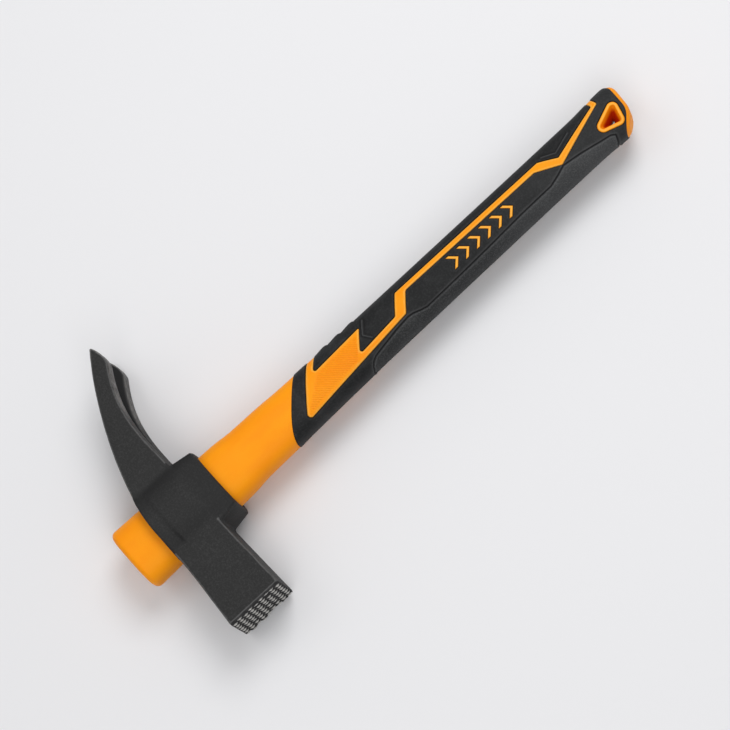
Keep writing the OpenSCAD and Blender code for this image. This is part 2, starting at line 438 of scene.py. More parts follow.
def settle(points: np.ndarray, quads: np.ndarray, distance: Field, rounds: int) -> np.ndarray:
    """Evens out a skin's vertices and puts them back on the zero of its field.

    Each round moves a vertex half way to the mean of its neighbours, then takes two Newton steps of
    minus the field over its slope, along the slope.

    Args:
        points: the skin's vertices.
        quads: the skin's faces.
        distance: the field, evaluated at (N, 3) points.
        rounds: how many times to repeat.

    Returns:
        The settled vertices.
    """
    starts = quads.reshape(-1)
    ends = np.roll(quads, -1, 1).reshape(-1)
    count = len(points)
    weight = np.bincount(starts, minlength=count) + np.bincount(ends, minlength=count)
    small, least_slope, longest_step = 0.02, 0.2, 0.6

    def around(values: np.ndarray) -> np.ndarray:
        """The sum of one coordinate over each vertex's neighbours."""
        return np.bincount(starts, values[ends], count) + np.bincount(ends, values[starts], count)

    for step in range(rounds + 1):
        if step:
            mean = np.stack([around(values) for values in points.T], 1)
            points = 0.5 * points + 0.5 * mean / weight[:, None]
        for _ in range(2):
            here = distance(points)
            slope = np.stack([(distance(points + small * e) - here) / small for e in np.eye(3)], 1)
            stride = here / np.maximum((slope**2).sum(1), least_slope)
            points = points - slope * np.clip(stride, -longest_step, longest_step)[:, None]
    return points


# ---------------------------------------------------------------- shader maths

Value = Union["Signal", float]
Socket = Union[str, int]


class Signal:
    """One number that varies over a surface, with Python's operators as Math nodes."""

    def __init__(self, graph: "Graph", socket: bpy.types.NodeSocket) -> None:
        """Wraps a node's output socket."""
        self.graph = graph
        self.socket = socket

    def _math(self, operation: str, *values: Value) -> "Signal":
        """Adds one Math node."""
        return self.graph.node("ShaderNodeMath", {"operation": operation}, dict(enumerate(values)))

    def __add__(self, other: Value) -> "Signal":
        """Sum."""
        return self._math("ADD", self, other)

    __radd__ = __add__

    def __sub__(self, other: Value) -> "Signal":
        """Difference."""
        return self._math("SUBTRACT", self, other)

    def __rsub__(self, other: Value) -> "Signal":
        """Difference from a number."""
        return self._math("SUBTRACT", other, self)

    def __mul__(self, other: Value) -> "Signal":
        """Product."""
        return self._math("MULTIPLY", self, other)

    __rmul__ = __mul__

    def ramp(self, low: float, high: float) -> "Signal":
        """A smooth step from 0 at low to 1 at high."""
        return self.graph.node(
            "ShaderNodeMapRange",
            {"interpolation_type": "SMOOTHSTEP", "clamp": True},
            {"Value": self, "From Min": low, "From Max": high, "To Min": 0.0, "To Max": 1.0},
        )


class Graph:
    """A material's node tree, built by expressions."""

    def __init__(self, name: str) -> None:
        """Starts an empty material."""
        self.material = bpy.data.materials.new(name)
        self.material.use_nodes = True
        self.tree = self.material.node_tree
        self.tree.nodes.clear()

    def node(
        self, kind: str, settings: Dict[str, object], inputs: Dict[Socket, object], output: Socket = 0
    ) -> Signal:
        """Adds one node.

        Args:
            kind: the node's type.
            settings: properties that are set first.
            inputs: sockets, by name or number, to values or signals.
            output: the output socket to return.

        Returns:
            The output as a signal.
        """
        made = self.tree.nodes.new(kind)
        for key, value in settings.items():
            setattr(made, key, value)
        for key, value in inputs.items():
            if isinstance(value, Signal):
                self.tree.links.new(value.socket, made.inputs[key])
            else:
                made.inputs[key].default_value = value
        return Signal(self, made.outputs[output])

    def place(self) -> Signal:
        """The surface's own coordinates, in metres."""
        return self.node("ShaderNodeTexCoord", {}, {}, "Object")

    def layer(self, name: str) -> Signal:
        """A number stored on the mesh's vertices."""
        return self.node("ShaderNodeAttribute", {"attribute_name": name}, {}, "Fac")

    def noise(
        self, size: float, detail: float = 2.0, rough: float = 0.5, at: Optional[Signal] = None
    ) -> Signal:
        """Noise whose features are about so many mm across."""
        where = {"Vector": at or self.place(), "Scale": 1 / (size * MM)}
        return self.node("ShaderNodeTexNoise", {}, {**where, "Detail": detail, "Roughness": rough})

    def stretched(self, sizes: Tuple[float, float, float]) -> Signal:
        """The surface's own coordinates, stretched by a factor along each axis."""
        return self.node("ShaderNodeVectorMath", {"operation": "MULTIPLY"}, {0: self.place(), 1: sizes})

    def mix(self, factor: Value, a: object, b: object) -> Signal:
        """Colour a where the factor is 0, colour b where it is 1."""
        settings = {"data_type": "RGBA", "clamp_factor": True}
        return self.node("ShaderNodeMix", settings, {0: factor, 6: a, 7: b}, 2)

    def bump(
        self, height: Signal, depth: float, strength: float = 1.0, under: Optional[Signal] = None
    ) -> Signal:
        """A normal bent by a height from 0 to 1 that stands for so many mm."""
        inputs: Dict[Socket, object] = {"Strength": strength, "Distance": depth * MM, "Height": height}
        if under:
            inputs["Normal"] = under
        return self.node("ShaderNodeBump", {}, inputs)

    def finish(self, varying: Dict[str, Signal], constants: Dict[str, object]) -> bpy.types.Material:
        """Closes the tree with a Principled shader.

        Args:
            varying: sockets that a signal feeds.
            constants: sockets that are the same all over.

        Returns:
            The material.
        """
        shader = self.node("ShaderNodeBsdfPrincipled", {}, {**constants, **varying})
        out = self.tree.nodes.new("ShaderNodeOutputMaterial")
        self.tree.links.new(shader.socket, out.inputs["Surface"])
        return self.material


def linear(value: float) -> float:
    """One screen value between 0 and 255 as a linear number, by the sRGB curve."""
    value = value / 255
    return value / 12.92 if value <= 0.04045 else ((value + 0.055) / 1.055) ** 2.4


def shade(red: float, green: float, blue: float) -> Colour:
    """A colour from its screen values, in the linear numbers that shaders take."""
    return (linear(red), linear(green), linear(blue), 1.0)


# ---------------------------------------------------------------- finishes


@dataclass(frozen=True)
class CoatedSteel:
    """Forged steel under a matt powder coat, lighter along its edges where it is rubbed and where a highlight
    is painted, with painted shade in the nail slot, at the cheeks' creases and over the collar.

    Attributes:
        coat: the powder coat's colour.
        speck: the colour of its specks.
        rubbed: the coat's colour where it is rubbed, which also paints a highlight along its edges.
        bare: bare steel where the coat is worn through most.
        slot: painted shade: the coat darkened to this in the nail slot, at the cheeks' creases and over the
            collar's top.
    """

    coat: Colour = shade(30, 30, 30)
    speck: Colour = shade(70, 70, 70)
    rubbed: Colour = shade(92, 92, 92)
    bare: Colour = shade(132, 131, 129)
    slot: Colour = shade(16, 16, 17)

    def build(self) -> bpy.types.Material:
        """Speckled coat, lighter along the layer "wear" (rubbed coat and a painted highlight), bare along
        "grind", and painted shade along "shadow".

        Returns:
            The coated steel.
        """
        g = Graph("coated_steel")
        speck = g.noise(0.85, 4.0, 0.72)
        blotch = g.noise(16.0, 3.0)
        chips = g.noise(2.2, 4.0, 0.65)
        rub_and_highlight = (g.layer("wear_and_highlight") * (0.35 + 1.1 * chips)).ramp(0.30, 0.95)
        worn = (g.layer("grind") * (0.45 + 1.0 * chips)).ramp(0.36, 0.80)
        body = g.mix(speck.ramp(0.40, 0.82) * 0.52 + 0.12 * blotch, self.coat, self.speck)
        # Painted highlight along the edges with the rubbed coat, then painted shade by the layer shadow.
        coat_with_painted_light = g.mix(g.layer("shadow") * 0.85, g.mix(rub_and_highlight * 0.75, body, self.rubbed), self.slot)
        colour = g.mix(worn * 0.85, coat_with_painted_light, self.bare)
        rough = 0.60 - 0.08 * rub_and_highlight - 0.20 * worn + 0.16 * speck
        grain = g.bump(g.noise(1.0, 4.0, 0.7), 0.22)
        forged = g.bump(g.noise(7.0, 2.0), 0.35, 0.7, grain)
        return g.finish(
            {"Base Color": colour, "Roughness": rough, "Metallic": worn * 0.8, "Normal": forged},
            {"Specular IOR Level": 0.30},
        )


@dataclass(frozen=True)
class MilledSteel:
    """The milled teeth: bright where they were rubbed, dark in the grooves.

    Attributes:
        coat: colour in the grooves.
        bright: colour of the rubbed flanks.
    """

    coat: Colour = shade(30, 30, 31)
    bright: Colour = shade(192, 190, 186)

    def build(self) -> bpy.types.Material:
        """Bare metal by the layer "rise", broken up by fine noise.

        Returns:
            The milled steel.
        """
        g = Graph("milled_steel")
        chips = g.noise(1.4, 3.0, 0.6)
        bare = (g.layer("rise") + 0.40 * (chips - 0.5)).ramp(0.52, 0.82)
        colour = g.mix(bare, self.coat, self.bright)
        normal = g.bump(g.noise(0.35, 2.0), 0.03)
        return g.finish(
            {"Base Color": colour, "Roughness": 0.62 - 0.22 * bare, "Metallic": bare * 0.7, "Normal": normal},
            {"Specular IOR Level": 0.4},
        )


@dataclass(frozen=True)
class OrangePlastic:
    """Satin moulded polypropylene.

    Attributes:
        body: the plastic's colour.
        deep: the colour where it is dirtier or thinner.
        groove: painted shade: the colour in the hatching's grooves and deep in the hang hole.
        pale: painted highlight: the colour along the rolled edges, where they catch the light.
    """

    body: Colour = shade(254, 158, 0)
    deep: Colour = shade(246, 136, 0)
    groove: Colour = shade(186, 46, 0)
    pale: Colour = shade(255, 188, 78)

    def build(self) -> bpy.types.Material:
        """Orange with faint flow marks; the layer "groove" paints shade over it and "pale" paints a
        highlight.

        Returns:
            The orange plastic.
        """
        g = Graph("orange_plastic")
        flow = g.noise(14.0, 3.0, 0.55, g.stretched((0.35, 1.0, 1.0)))
        scuff = g.noise(1.6, 4.0, 0.65)
        plain = g.mix(flow.ramp(0.35, 0.75) * 0.45 + 0.18 * scuff, self.body, self.deep)
        # Painted shade by the layer groove, then painted highlight by the layer pale.
        cut = g.mix(g.layer("groove"), plain, self.groove)
        colour = g.mix(g.layer("pale") * 0.7, cut, self.pale)
        rough = 0.42 + 0.12 * scuff + 0.06 * flow
        normal = g.bump(g.noise(0.6, 3.0, 0.6), 0.035)
        return g.finish(
            {"Base Color": colour, "Roughness": rough, "Normal": normal},
            {
                "Specular IOR Level": 0.18,
                "Subsurface Weight": 0.08,
                "Subsurface Radius": (1.0, 0.35, 0.08),
                "Subsurface Scale": 0.0015,
            },
        )


@dataclass(frozen=True)
class SoftGrip:
    """Soft black elastomer with a matt eroded grain, coarser on the palm panel.

    Attributes:
        body: the rubber's colour.
        dust_and_highlight: its colour where dust lies and where a highlight is painted on raised edges and
            crests.
        dark: painted shade: its colour in its grooves and notches and at the foot of its edges.
    """

    body: Colour = shade(20, 21, 22)
    dust_and_highlight: Colour = shade(82, 83, 84)
    dark: Colour = shade(8, 8, 9)

    def build(self) -> bpy.types.Material:
        """Fine grain, coarse by the layer "panel", lighter by "wear" (rubbed tone and painted highlights),
        painted shade by "shadow".

        Returns:
            The soft elastomer.
        """
        g = Graph("soft_grip")
        fine = g.noise(0.9, 3.0, 0.65)
        coarse = g.noise(0.7, 2.0, 0.7)
        panel = g.layer("panel")
        dust = g.noise(11.0, 4.0, 0.6)
        grain = fine.ramp(0.40, 0.75) * 0.15 * (1 - panel) + (0.16 + coarse.ramp(0.40, 0.75) * 0.42) * panel
        # Lighter by dust, grain and the layer of rubbed tone and painted highlights; painted shade by the
        # layer shadow.
        tone = dust.ramp(0.4, 0.8) * 0.14 + grain + 0.45 * g.layer("wear_and_highlight")
        colour = g.mix(g.layer("shadow") * 0.85, g.mix(tone, self.body, self.dust_and_highlight), self.dark)
        rough = 0.54 + 0.14 * fine + 0.10 * panel
        small = g.bump(g.noise(0.45, 2.0, 0.6), 0.05)
        normal = g.bump(coarse * panel, 0.22, 1.0, small)
        return g.finish(
            {"Base Color": colour, "Roughness": rough, "Normal": normal},
            {"Specular IOR Level": 0.22},
        )


@dataclass(frozen=True)
class PlainFill:
    """A filled resin with fine specks, for the pieces inside.

    Attributes:
        name: the material's name.
        body: its colour.
        speck: the colour of the specks.
        streak: how far the specks are drawn out along the handle.
    """

    name: str
    body: Colour
    speck: Colour
    streak: float

    def build(self) -> bpy.types.Material:
        """Specks, drawn out along the handle where the resin is pultruded.

        Returns:
            The resin.
        """
        g = Graph(self.name)
        fibre = g.noise(0.6, 3.0, 0.6, g.stretched((self.streak, 1.0, 1.0)))
        colour = g.mix(fibre.ramp(0.4, 0.7), self.body, self.speck)
        normal = g.bump(fibre, 0.03)
        return g.finish({"Base Color": colour, "Roughness": 0.45 + 0.2 * fibre, "Normal": normal}, {})


@dataclass(frozen=True)
class PaleFloor:
    """A plain pale sheet under the hammer.

    Attributes:
        body: its colour.
    """

    body: Colour = shade(232, 232, 234)

    def build(self) -> bpy.types.Material:
        """Matt paper with a barely seen unevenness."""
        g = Graph("pale_floor")
        cloud = g.noise(120.0, 2.0)
        colour = g.mix(cloud * 0.1, self.body, shade(226, 226, 229))
        return g.finish({"Base Color": colour}, {"Roughness": 0.9, "Specular IOR Level": 0.2})


# ---------------------------------------------------------------- the handle's form


@dataclass
class HandleForm:
    """The handle's outer form: superellipse sections along x, between a rounded stub and a slanted butt.

    A section is y = w sgn(cos a) |cos a|^(2/n) and z = h sgn(sin a) |sin a|^(2/n). Places on the skin
    are given by x and by the way round the section, in mm on a middling section, from the claw's
    side over the top to the palm's side and back underneath.

    Attributes:
        bench: where the handle's frame lies.
        stations: distance from the stub end, half width and half thickness.
        square: the section's n.
        stub_edge: radius of the stub's edge.
        butt_edge: radius of the butt's edge on the top and underneath.
        butt_side: how much of that radius the butt's sides take.
        middling: half width and half thickness of a middling section.
        butt_line: the butt's outline in x and y, with the radius of each corner.
        samples: points worked out round half a section.
        blur: spread of the smoothing along the handle, in half millimetres.
        fine_step: step at which an outline is followed over the skin.
    """

    bench: Bench
    stations: Tuple[Corner, ...] = (
        (0, 16.9, 12), (55.3, 15.4, 11.3), (66.3, 15.1, 11.1), (73.5, 14.15, 10.7), (94, 13.8, 10.48),
        (102, 13.28, 10.16), (130, 12.7, 9.8), (152, 12.34, 9.72), (200, 12.07, 9.66), (260, 11.8, 9.6),
        (295, 11.8, 9.6), (309, 12.7, 9.78), (330, 12.8, 9.7),
    )
    square: float = 2.5
    stub_edge: float = 3.0
    butt_edge: float = 4.5
    butt_side: float = 0.4
    middling: Tuple[float, float] = (12.6, 9.8)
    butt_line: Tuple[Corner, ...] = (
        (291.4, -32.7, 0), (317.7, -6.4, 12), (319.44, 13.4, 5.0), (305, 13.4, 0),
    )
    samples: int = 4000
    blur: float = 5.0
    fine_step: float = 0.04

    def __post_init__(self) -> None:
        """Works out the tables of the section, the half sizes and the butt's slant."""
        turn = np.linspace(0, 2 * np.pi, 2 * self.samples + 1)
        power = 2 / self.square
        cos, sin = np.cos(turn), np.sin(turn)
        sin[:: self.samples] = 0
        self.round_y = np.sign(cos) * np.abs(cos) ** power
        self.round_z = np.sign(sin) * np.abs(sin) ** power
        run = np.hypot(np.diff(self.middling[0] * self.round_y), np.diff(self.middling[1] * self.round_z))
        self.way = np.concatenate([[0], np.cumsum(run)])
        self.half_way = float(self.way[self.samples])
        at, *sizes = np.asarray(self.stations).T
        self.along = np.arange(-30, 350, 0.5)
        reach = 16
        kernel = np.exp(-0.5 * (np.arange(-reach, reach + 1) / self.blur) ** 2)
        kernel = kernel / kernel.sum()
        padded = [np.pad(np.interp(self.along, at, size), reach, mode="edge") for size in sizes]
        self.sizes = [np.convolve(size, kernel, "valid") for size in padded]
        butt = rounded(self.butt_line, 16)[:-1]
        self.butt = butt[np.argsort(butt[:, 1])]

    def half_sizes(self, x: np.ndarray) -> Tuple[np.ndarray, np.ndarray]:
        """Half width and half thickness at distances along the handle."""
        return np.interp(x, self.along, self.sizes[0]), np.interp(x, self.along, self.sizes[1])

    def oval(self, y: np.ndarray, z: np.ndarray, w: np.ndarray, h: np.ndarray, n: float) -> np.ndarray:
        """Signed distance to a superellipse, to first order: its radius less one, over the radius's slope.

        Args:
            y: distance across.
            z: distance up.
            w: half width.
            h: half thickness.
            n: squareness.

        Returns:
            The distance, negative inside.
        """
        y, z = np.abs(y) + 1e-6, np.abs(z) + 1e-6
        radius = ((y / w) ** n + (z / h) ** n) ** (1 / n)
        slope = radius ** (1 - n) * np.hypot(y ** (n - 1) / w**n, z ** (n - 1) / h**n)
        return (radius - 1) / slope

    def butt_at(self, y: np.ndarray) -> np.ndarray:
        """Distance from the stub end to the butt at a height y."""
        return np.interp(y, self.butt[:, 1], self.butt[:, 0])

    def tuck(self, x: np.ndarray, share: np.ndarray) -> Tuple[np.ndarray, np.ndarray]:
        """How far the skin is drawn in by the rounded edges of the two ends.

        Near an end with radius r, at t inside it, a quarter circle draws the skin in by
        r - sqrt(r^2 - (r - t)^2). The butt's outline is round already, so its sides draw in less.

        Args:
            x: distance along the handle.
            share: y as a share of the half width.

        Returns:
            The draws of the half width and of the half thickness, in mm.
        """
        draws = []
        ends = ((x, self.stub_edge), (self.butt_at(self.middling[0] * share) - x, self.butt_edge))
        for room, r in ends:
            t = np.clip(r - room, 0, r)
            draws.append(r - np.sqrt(np.maximum(r * r - t * t, 0)))
        stub, butt = draws
        return stub + self.butt_side * butt, stub + butt

    def spot(self, x: np.ndarray, way: np.ndarray) -> np.ndarray:
        """The skin's points at places x and way.

        Args:
            x: distance along the handle.
            way: way round the section.

        Returns:
            (..., 3) points.
        """
        whole = self.way[-1]
        turn = np.mod(way, whole)
        cy, cz = np.interp(turn, self.way, self.round_y), np.interp(turn, self.way, self.round_z)
        w, h = self.half_sizes(x)
        narrow, thin = self.tuck(x, cy)
        return np.stack([x + 0 * cy, (w - narrow) * cy, (h - thin) * cz], -1)

    def skin(self, x: np.ndarray, way: np.ndarray, grow: Union[float, np.ndarray] = 0.0) -> np.ndarray:
        """The skin's points, moved out along the normal, the cross product of the skin's two slopes.

        Args:
            x: distance along the handle.
            way: way round the section.
            grow: distance out from the skin.

        Returns:
            (..., 3) points.
        """
        small = 0.25
        along = self.spot(x + small, way) - self.spot(x - small, way)
        across = self.spot(x, way + small) - self.spot(x, way - small)
        normal = unit(np.cross(across, along))
        return self.spot(x, way) + normal * np.asarray(grow)[..., None]

    def way_of(self, points: np.ndarray) -> np.ndarray:
        """Turns (N, 2) points in x and y on the top side into places in x and way.

        Args:
            points: (N, 2) points; past the side they go on round it.

        Returns:
            (N, 2) places.
        """
        x, y = points[:, 0], points[:, 1]
        w, _ = self.half_sizes(x)
        w = w - self.tuck(x, np.clip(y / w, -1, 1))[0]
        top = slice(0, self.samples + 1)
        way = np.interp(-y / w, -self.round_y[top], self.way[top])
        past = np.maximum(np.abs(y) - w, 0)
        return np.stack([x, way - np.sign(y) * past], -1)

    def unroll(self, outline: np.ndarray, step: float) -> np.ndarray:
        """A closed outline in x and y, laid on the skin as points in x and way, its corners kept.

        Args:
            outline: the outline's points.
            step: the distance between the new points.

        Returns:
            The new points.
        """
        parts = []
        for a, b in zip(outline, np.roll(outline, -1, 0)):
            t = np.linspace(0, 1, max(3, int(np.hypot(*(b - a)) / self.fine_step)))[:, None]
            run = self.way_of(a + (b - a) * t)
            gone = np.concatenate([[0], np.cumsum(np.hypot(*np.diff(run, axis=0).T))])
            count = max(1, int(math.ceil(gone[-1] / step)))
            want = np.arange(count) / count * gone[-1]
            parts.append(np.stack([np.interp(want, gone, run[:, 0]), np.interp(want, gone, run[:, 1])], -1))
        return np.vstack(parts)


# ---------------------------------------------------------------- the head


@dataclass
class ForgedHead:
    """The forged head: poll, eye with its bulged cheeks and collar, and the split claw.

    The skin is the zero of one field. The body is the side outline and the outline seen along the
    handle, both pulled through, with their common edges rounded. The bulge of the cheeks and the
    collar are joined to it with fillets, and the handle's taper is taken out.

    Attributes:
        bench: where the handle's frame lies.
        handle: the handle's form, which the eye seats on.
        poll_reach, claw_reach: how far the teeth and the claw's tips stand from the axis.
        claw_drop: how far the claw's tips hang below the eye's top.
        cheek: half the forging's thickness beside the eye.
        claw_half: half the claw's width at its tips.
        face_d, face_lead: side of the striking face, and how far it stands above the eye's top.
        neck_d: depth of the forging beside the eye.
        eye_len: length of the eye.
        bulge_top, bulge_fall: height of the cheeks' bulge, and how much it loses towards the collar.
        bulge_half, bulge_off: half its width, and its middle's distance from the axis.
        bulge_power, bulge_share: the two exponents of its outline across.
        slot_root, slot_root_r, slot_mouth: the nail slot's root, its radius and its width at the tips.
        tooth_depth: depth of the face's teeth.
        collar_half: half sizes of the collar's end.
        collar_grow: how much they gain back at the neck.
        collar_square: squareness of its oval.
        collar_from: where it starts, from the eye's top.
        edge, face_edge: radius of the forging's edges, and beside the face and at the tips.
        fine_edge: radius of the eye's edges.
        bulge_fillet, collar_fillet: radii of the two fillets.
        bond: gap between the handle and the eye.
        step: spacing of the cells that the skin is found in.
    """

    bench: Bench
    handle: "HandleForm"
    poll_reach: float = 60.5
    claw_reach: float = 88.3
    claw_drop: float = 34.6
    cheek: float = 15.0
    claw_half: float = 18.5
    face_d: float = 30.0
    face_lead: float = 2.4
    neck_d: float = 26.0
    eye_len: float = 36.8
    bulge_top: float = 17.6
    bulge_fall: float = 2.2
    bulge_half: float = 15.0
    bulge_off: float = 2.0
    bulge_power: float = 2.4
    bulge_share: float = 0.8
    slot_root: float = 28.0
    slot_root_r: float = 1.2
    slot_mouth: float = 22.0
    tooth_depth: float = 1.5
    collar_half: Tuple[float, float] = (17.1, 15.3)
    collar_grow: Tuple[float, float] = (1.8, 1.6)
    collar_square: float = 3.6
    collar_from: float = 8.0
    edge: float = 1.1
    face_edge: float = 0.4
    fine_edge: float = 0.5
    bulge_fillet: float = 1.2
    collar_fillet: float = 2.2
    bond: float = 0.35
    step: float = 0.62

    def side_outline(self) -> np.ndarray:
        """The outline seen from the side, in distances along the handle from the eye's top and along y.

        Returns:
            The outline's points.
        """
        drop, reach, neck, poll_reach = self.claw_drop, self.claw_reach, self.neck_d, self.poll_reach
        face = -poll_reach + self.tooth_depth
        lead = self.face_lead
        tip = np.array([drop, reach])
        convex = bezier([(0, 0), (0, reach / 3), tip - (14.3, 18.8), tip], 28)
        chisel = bezier([tip + (0.2, -0.5), tip + (1.7, -3), tip + (2.8, -7), tip + (2, -11.1)], 8)
        inner = [(neck, reach - 28.3), (neck - 2, reach / 2 + 4), (neck - 0.8, 24)]
        hollow = bezier([tip + (1.9, -11.6), *inner], 24)
        below = [(neck + 0.4, -24), (self.face_d - lead, face)]
        poll = bezier([(-lead, face), (-lead / 2, -poll_reach * 0.6), (0, -poll_reach * 0.58), (0, -5)], 10)
        return np.vstack([convex, chisel, hollow, below, poll])

    def plan_outline(self) -> np.ndarray:
        """The outline seen along the handle, in y and z, with the flared claw and its slot.

        Returns:
            The outline's points.
        """
        reach, half = self.claw_reach + 0.5, self.claw_half
        flare = self.claw_reach - 11
        r = self.slot_root_r
        centre = self.slot_root + r
        turn = np.radians(np.linspace(-60, 60, 7))
        notch = np.stack([centre - r * np.cos(turn), r * np.sin(turn)], 1)
        below = [(-self.poll_reach - 1, -self.cheek), (self.slot_root, -self.cheek), (flare, -half)]
        below += [(reach, -half + 0.5), (reach, -self.slot_mouth / 2), (centre, -r)]
        above = [(y, -z) for y, z in reversed(below)]
        return np.vstack([below, notch, above])

    def __post_init__(self) -> None:
        """Works out the two outlines' distance maps."""
        self.side = DistanceMap.of(self.side_outline())
        self.plan = DistanceMap.of(self.plan_outline())

    def edge_at(self, y: np.ndarray) -> np.ndarray:
        """Radius of the forging's edges, which gets small beside the milled face and at the claw's tips."""
        small = np.maximum(ease((-y - self.poll_reach + 7) / 5), ease((y - self.claw_reach + 9) / 8))
        return self.edge - (self.edge - self.face_edge) * small

    def distance(self, p: np.ndarray) -> np.ndarray:
        """The head's signed distance.

        Args:
            p: (..., 3) points from the eye's top.

        Returns:
            The distance, negative in the steel.
        """
        u, y, z = p[..., 0], p[..., 1], np.abs(p[..., 2])
        side, plan = self.side.at(p[..., :2]), self.plan.at(p[..., 1:])
        body = round_and(side, plan, self.edge_at(y))
        past_eye = u - self.eye_len
        back = np.clip(-past_eye / (self.eye_len - self.neck_d), 0, 1.2)
        wide, tall = (half + grow * back for half, grow in zip(self.collar_half, self.collar_grow))
        # The bulge rises from 1 mm inside the cheek; 0.85 brings its slope near one, as a distance has.
        top = self.bulge_top - self.bulge_fall * ease((u - 14) / (self.eye_len - 14))
        across = np.abs((y - self.bulge_off) / self.bulge_half)
        crown = np.clip(1 - across**self.bulge_power, 0, 1) ** self.bulge_share
        bulge = 0.85 * (z - (self.cheek - 1) - (top - self.cheek + 1) * crown)
        bulge = round_and(bulge, np.abs(y) - wide + 0.4, self.bulge_fillet)
        # The barrel is the side outline at 12 mm down, carried on to the eye's end.
        barrel = np.maximum(self.side.at(np.stack([np.minimum(u, 12.0), y], -1)), past_eye)
        solid = round_or(body, round_and(barrel, bulge, self.fine_edge), self.bulge_fillet)
        collar = self.handle.oval(y, z, wide, tall, self.collar_square)
        collar = round_and(collar, np.maximum(past_eye, self.collar_from - u), self.face_edge)
        solid = round_or(solid, collar, self.collar_fillet)
        half_w, half_t = self.handle.half_sizes(u + self.bench.head_at)
        eye = self.handle.oval(y, z, half_w + self.bond, half_t + self.bond, self.handle.square)
        return round_and(solid, -eye, self.fine_edge)

    def wear_and_shade_layers(self, points: np.ndarray) -> Layers:
        """Where painted shade darkens the coat, where its edges are rubbed and painted lighter as a
        highlight, and where it is ground through.

        Args:
            points: the skin's vertices, from the eye's top.

        Returns:
            The layers "shadow", "wear" and "grind".
        """
        down, reach, high = points[:, 0], points[:, 1], np.abs(points[:, 2])
        side, plan = self.side.at(points[:, :2]), self.plan.at(points[:, 1:])
        fillet = np.clip(1 - np.abs(side) / self.edge, 0, 1) * np.clip(1 - np.abs(plan) / self.edge, 0, 1)
        hollow = ease((reach - 30) / 30) * np.clip(1 - np.abs(side) / 0.8, 0, 1) * (down > self.neck_d - 3)
        tip = ease((reach - self.claw_reach + 13) / 9)
        rim = ease((-reach - self.poll_reach + 4.5) / 2.5)
        # Painted shade on the nail slot's walls between the tines.
        between = (high < 3 + 0.13 * (reach - 20)) & (plan > -1.2) & (reach > self.slot_root - 2)
        # Painted shade on the cheeks: darkest at the creases beside the bulge, more on the claw's side, and
        # over the collar's top.
        turn = (reach - self.bulge_off) / self.bulge_half
        far = np.abs(turn)
        flank = 0.08 + np.where(turn > 0, 0.80, 0.42) * far**1.8
        flank = flank * (1 - ease((far - 0.96) / 0.24))
        flank = np.maximum(flank, 0.46 * ease((down - self.neck_d + 5) / 8) * (far < 1.25))
        flank = flank * ease((high - 10) / 3)
        return {
            "shadow": np.maximum(ease((plan + 0.7) / 0.6) * between, flank),
            # Lighter along the rounded edges and the poll's rim, by rubbed coat and a painted highlight, and
            # not where painted shade lies.
            "wear_and_highlight": np.clip(2.6 * fillet + 0.5 * rim * (fillet > 0.02), 0, 1) * (1 - ease(flank * 8)),
            "grind": np.clip(0.62 * hollow + 0.6 * tip * (0.25 + fillet) + 0.25 * rim, 0, 1),
        }

    def build(self, coat: bpy.types.Material) -> bpy.types.Object:
        """Makes the forging.

        Args:
            coat: the coated steel.

        Returns:
            The piece.
        """
        room_x, room_poll, room = 6.0, 2.0, 3.0
        low = np.array([-room_x, -self.poll_reach - room_poll, -self.claw_half - room])
        high = np.array([self.claw_drop + room_x, self.claw_reach + room, self.claw_half + room])
        axes = [np.arange(a, b, self.step) for a, b in zip(low, high)]
        grid = np.stack(np.meshgrid(*axes, indexing="ij"), -1)
        points, quads = surface_net(self.distance(grid), low, self.step)
        points = settle(points, quads, self.distance, 3)
        layers = self.wear_and_shade_layers(points)
        points[:, 0] += self.bench.head_at
        nodes = ["hammer_head"]
        return make_piece("forged_head", self.bench, points, [quads], Slot.STEEL, coat, nodes, layers)


